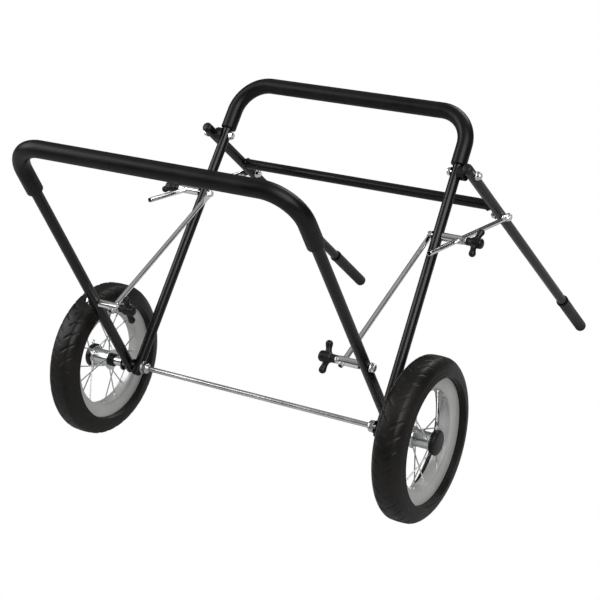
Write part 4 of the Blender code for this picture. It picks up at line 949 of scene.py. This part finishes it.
def build_hub(label, side, body):
    """The hub with its spokes, its plain bush and its cap."""
    half = [(0.0, 10.5 * MM), (0.0, HUB_FLANGE), (2.6 * MM, HUB_FLANGE),
            (3.2 * MM, HUB_BARREL + 1.5 * MM), (5.5 * MM, HUB_BARREL)]
    hub = [(HUB_START + x, r) for x, r in half] + [(HUB_END - x, r) for x, r in half[::-1]]
    builder = bmesh.new()
    add_turned(builder, AXLE, side, hub, sides=72, closed=True, cut=0.4 * MM)
    for start, end in spoke_lines(side):
        along = (end - start).normalized()
        across = along.cross(X_AXIS).normalized()
        up = along.cross(across)
        reach = (end - start).length
        stations = [(0.0, SPOKE), (reach - 12.0 * MM, SPOKE), (reach - 11.5 * MM, 1.9 * MM),
                    (reach, 2.0 * MM)]
        skin(builder, [ring(start + along * d, across, up, r, 16) for d, r in stations])
    make(f"laced_hub_{label}", builder, "zinc", body, f"spoked_hub_{label}")
    seat, face = 10.2 * MM, HUB_START - GAP
    turned(f"bush_{label}", AXLE, side,
           [(BUSH_START, AXLE_BORE), (BUSH_START, 11.0 * MM), (BUSH_START + 1.5 * MM, 12.5 * MM),
            (face, 12.5 * MM), (face, seat), (HUB_END, seat), (HUB_END, AXLE_BORE)],
           "plastic", body, f"hub_bush_{label}", closed=True)
    rim_x, end_x, inner = CAP_START + 7.5 * MM, CAP_START + 11.5 * MM, 18.5 * MM
    cap = [(end_x - 1.8 * MM, 8.3 * MM), (rim_x, inner), (CAP_START, inner),
           (CAP_START, CAP_RADIUS), (rim_x - 1.0 * MM, CAP_RADIUS)]
    for step in range(9):
        turn = math.radians(8.0 + 9.5 * step)
        cap.append((rim_x - 1.0 * MM + 5.0 * MM * math.sin(turn),
                    4.0 * MM + 19.0 * MM * math.cos(turn) ** 0.7))
    turned(f"cap_shell_{label}", AXLE, side, cap, "plastic", body, f"hub_cap_{label}",
           sides=72, cut=0.0)


def build_wheel(label):
    side = SIDES[label]
    body = f"wheel_{label}"
    centre = AXLE + X_AXIS * side * bpy.context.scene.trolley_wheel.centre
    build_tyre(label, centre, side, body)
    build_rim(label, centre, side, body)
    build_hub(label, side, body)


def build_latch(label):
    """A keyhole plate with a neck and an eye, outlined in millimetres."""
    side = SIDES[label]
    outline = [(-8.5, -12.5), (8.5, -12.5), (8.5, 10.8), (2.8, 14.8), (2.8, 25.2)]
    for step in range(25):
        turn = math.radians(-47.0 + 274.0 * step / 24)
        outline.append((4.4 * math.cos(turn), 28.5 + 4.4 * math.sin(turn)))
    outline += [(-2.8, 25.2), (-2.8, 14.8), (-8.5, 10.8)]
    builder = bmesh.new()
    skin(builder, [[AXLE + Vector((side * x, y * MM, z * MM)) for y, z in outline]
                   for x in (LATCH_START, LATCH_START + LATCH_THICKNESS)])
    latch = make(f"latch_plate_{label}", builder, "chrome", f"latch_{label}",
                 f"hub_latch_{label}")
    for height, radius in LATCH_HOLES:
        hole = bmesh.new()
        ends = [(LATCH_START - 3.0 * MM, radius), (LATCH_START + 4.0 * MM, radius)]
        skin(hole, turned_rings(AXLE + Vector((0.0, 0.0, height)), side, ends, 40))
        cut_from(latch, helper_form("hole", hole))


def dress_saddles():
    """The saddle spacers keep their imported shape, with rounded edges."""
    for label in SIDES:
        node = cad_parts[f"pivot_saddle_{label}"]
        node.data.materials.clear()
        node.data.materials.append(finish("plastic"))
        bevel = node.modifiers.new("edge", "BEVEL")
        bevel.width = 0.4 * MM
        bevel.segments = 2
        bevel.limit_method = "ANGLE"


def shown_to_camera(tree, other, seen, output):
    """Show one shader to the camera and another to every other ray."""
    path = tree.nodes.new("ShaderNodeLightPath")
    mix = tree.nodes.new("ShaderNodeMixShader")
    tree.links.new(path.outputs["Is Camera Ray"], mix.inputs["Fac"])
    tree.links.new(other.outputs[0], mix.inputs[1])
    tree.links.new(seen.outputs[0], mix.inputs[2])
    tree.links.new(mix.outputs[0], tree.nodes[output].inputs["Surface"])


def studio_world(colour):
    """White to the camera, and a dim room with a bright ceiling to the object."""
    world = bpy.data.worlds.new("studio")
    world.use_nodes = True
    nodes, links = world.node_tree.nodes, world.node_tree.links
    room = nodes["Background"]
    room.inputs["Color"].default_value = (1.0, 1.0, 1.0, 1.0)
    place = nodes.new("ShaderNodeTexCoord")
    split = nodes.new("ShaderNodeSeparateXYZ")
    ceiling = nodes.new("ShaderNodeMapRange")
    for end, (height, strength) in (("Min", ROOM_LOW), ("Max", ROOM_HIGH)):
        ceiling.inputs[f"From {end}"].default_value = height
        ceiling.inputs[f"To {end}"].default_value = strength
    links.new(place.outputs["Generated"], split.inputs["Vector"])
    links.new(split.outputs["Z"], ceiling.inputs["Value"])
    links.new(ceiling.outputs["Result"], room.inputs["Strength"])
    backdrop = nodes.new("ShaderNodeBackground")
    backdrop.inputs["Color"].default_value = (*colour, 1.0)
    shown_to_camera(world.node_tree, room, backdrop, "World Output")
    return world


def add_camera(scene, lens):
    data = bpy.data.cameras.new("camera")
    data.lens = lens
    data.sensor_width = 36.0
    camera = bpy.data.objects.new("camera", data)
    yaw, pitch, roll = CAMERA_YAW, CAMERA_PITCH, CAMERA_ROLL
    right0 = Vector((math.cos(yaw), -math.sin(yaw), 0.0))
    up0 = Vector((math.sin(yaw) * math.sin(pitch), math.cos(yaw) * math.sin(pitch),
                  math.cos(pitch)))
    ahead = Vector((math.sin(yaw) * math.cos(pitch), math.cos(yaw) * math.cos(pitch),
                    -math.sin(pitch)))
    right = right0 * math.cos(roll) + up0 * math.sin(roll)
    up = up0 * math.cos(roll) - right0 * math.sin(roll)
    turn = Matrix((right, up, -ahead)).transposed().to_4x4()
    camera.matrix_world = Matrix.Translation(AXLE + CAMERA_FROM_AXLE) @ turn
    scene.collection.objects.link(camera)
    scene.camera = camera


def add_floor(scene, colour):
    """A matt grey floor that shows as a plain backdrop to the camera."""
    data = bpy.data.meshes.new("floor")
    data.from_pydata([(-FLOOR_HALF, -FLOOR_HALF, 0), (FLOOR_HALF, -FLOOR_HALF, 0),
                      (FLOOR_HALF, FLOOR_HALF, 0), (-FLOOR_HALF, FLOOR_HALF, 0)], [],
                     [(0, 1, 2, 3)])
    floor = bpy.data.objects.new("floor", data)
    floor.location.z = -FLOOR_DROP
    scene.collection.objects.link(floor)
    look = bpy.data.materials.new("floor_look")
    look.use_nodes = True
    shader = look.node_tree.nodes["Principled BSDF"]
    shader.inputs["Base Color"].default_value = (FLOOR_GREY, FLOOR_GREY, FLOOR_GREY, 1.0)
    shader.inputs["Roughness"].default_value = 0.9
    glow = look.node_tree.nodes.new("ShaderNodeEmission")
    glow.inputs["Color"].default_value = (*colour, 1.0)
    shown_to_camera(look.node_tree, shader, glow, "Material Output")
    data.materials.append(look)


def set_stage():
    scene = bpy.context.scene
    stage = scene.trolley_stage
    add_camera(scene, stage.lens)
    add_floor(scene, stage.floor)
    scene.world = studio_world(stage.floor)
    for name, (place, size, share) in LAMPS.items():
        light = bpy.data.lights.new(name, "AREA")
        light.energy = share * stage.key
        light.size = size
        lamp = bpy.data.objects.new(name, light)
        lamp.location = place
        lamp.rotation_euler = (LAMP_AIM - Vector(place)).to_track_quat("-Z", "Y").to_euler()
        scene.collection.objects.link(lamp)
    scene.view_settings.view_transform = "Standard"


class BuildHoops(bpy.types.Operator):
    """Build the two bent hoops and their foam sleeves"""
    bl_idname = "trolley.build_hoops"
    bl_label = "Hoops and foam"

    def execute(self, context):
        build_hoop("front_hoop", front_size(), front_direction(), "front_frame",
                   FRONT_FOAM_START)
        build_hoop("rear_hoop", rear_size(), rear_direction(), "rear_frame",
                   REAR_FOAM_START)
        return {"FINISHED"}


class BuildSupport(bpy.types.Operator):
    """Build the support frame, its grips and its end plugs"""
    bl_idname = "trolley.build_support"
    bl_label = "Support frame"

    def execute(self, context):
        build_support()
        return {"FINISHED"}


class BuildRods(bpy.types.Operator):
    """Build the chromed rods with their flattened eyes"""
    bl_idname = "trolley.build_rods"
    bl_label = "Rods"

    def execute(self, context):
        build_rods()
        return {"FINISHED"}


class BuildClamps(bpy.types.Operator):
    """Build the four clamps, their steel screws and moulded thumb grips"""
    bl_idname = "trolley.build_clamps"
    bl_label = "Clamps and thumb screws"

    def execute(self, context):
        form = knob_shape()
        for kind in ("front", "rear"):
            for label in SIDES:
                end = build_clamp(label, kind)
                build_knob(label, kind, end, form)
        return {"FINISHED"}


class BuildFasteners(bpy.types.Operator):
    """Build the bolts, nuts and washers, and finish the saddle spacers"""
    bl_idname = "trolley.build_fasteners"
    bl_label = "Fasteners"

    def execute(self, context):
        build_fasteners()
        dress_saddles()
        return {"FINISHED"}


class BuildAxle(bpy.types.Operator):
    """Build the axle with its nuts, spacers and sleeves"""
    bl_idname = "trolley.build_axle"
    bl_label = "Axle"

    def execute(self, context):
        build_axle()
        return {"FINISHED"}


class BuildWheels(bpy.types.Operator):
    """Build both wheels with tyre, rim, laced hub, bush, cap and latch"""
    bl_idname = "trolley.build_wheels"
    bl_label = "Wheels"

    def execute(self, context):
        for label in SIDES:
            build_wheel(label)
            build_latch(label)
        return {"FINISHED"}


class BuildStage(bpy.types.Operator):
    """Set the camera, the lights, the floor and the world"""
    bl_idname = "trolley.build_stage"
    bl_label = "Stage"

    def execute(self, context):
        set_stage()
        return {"FINISHED"}


OPERATORS = (BuildHoops, BuildSupport, BuildRods, BuildClamps, BuildFasteners, BuildAxle,
             BuildWheels, BuildStage)
GROUPS = {"trolley_frame": TrolleyFrame, "trolley_metal": TrolleyMetal,
          "trolley_wheel": TrolleyWheel, "trolley_stage": TrolleyStage}


class TrolleyPanel(bpy.types.Panel):
    bl_idname = "VIEW3D_PT_trolley"
    bl_label = "Bass drum trolley"
    bl_space_type = "VIEW_3D"
    bl_region_type = "UI"
    bl_category = "Trolley"

    def draw(self, context):
        for operator in OPERATORS:
            self.layout.operator(operator.bl_idname)


def register():
    for group in GROUPS.values():
        bpy.utils.register_class(group)
    for name, group in GROUPS.items():
        setattr(bpy.types.Scene, name, bpy.props.PointerProperty(type=group))
    for item in (*OPERATORS, TrolleyPanel):
        bpy.utils.register_class(item)


def unregister():
    for item in (TrolleyPanel, *reversed(OPERATORS)):
        bpy.utils.unregister_class(item)
    for name, group in GROUPS.items():
        delattr(bpy.types.Scene, name)
        bpy.utils.unregister_class(group)


def main():
    register()
    bpy.ops.trolley.build_hoops()
    bpy.ops.trolley.build_support()
    bpy.ops.trolley.build_rods()
    bpy.ops.trolley.build_clamps()
    bpy.ops.trolley.build_fasteners()
    bpy.ops.trolley.build_axle()
    bpy.ops.trolley.build_wheels()
    bpy.ops.trolley.build_stage()


if __name__ == "__main__":
    main()
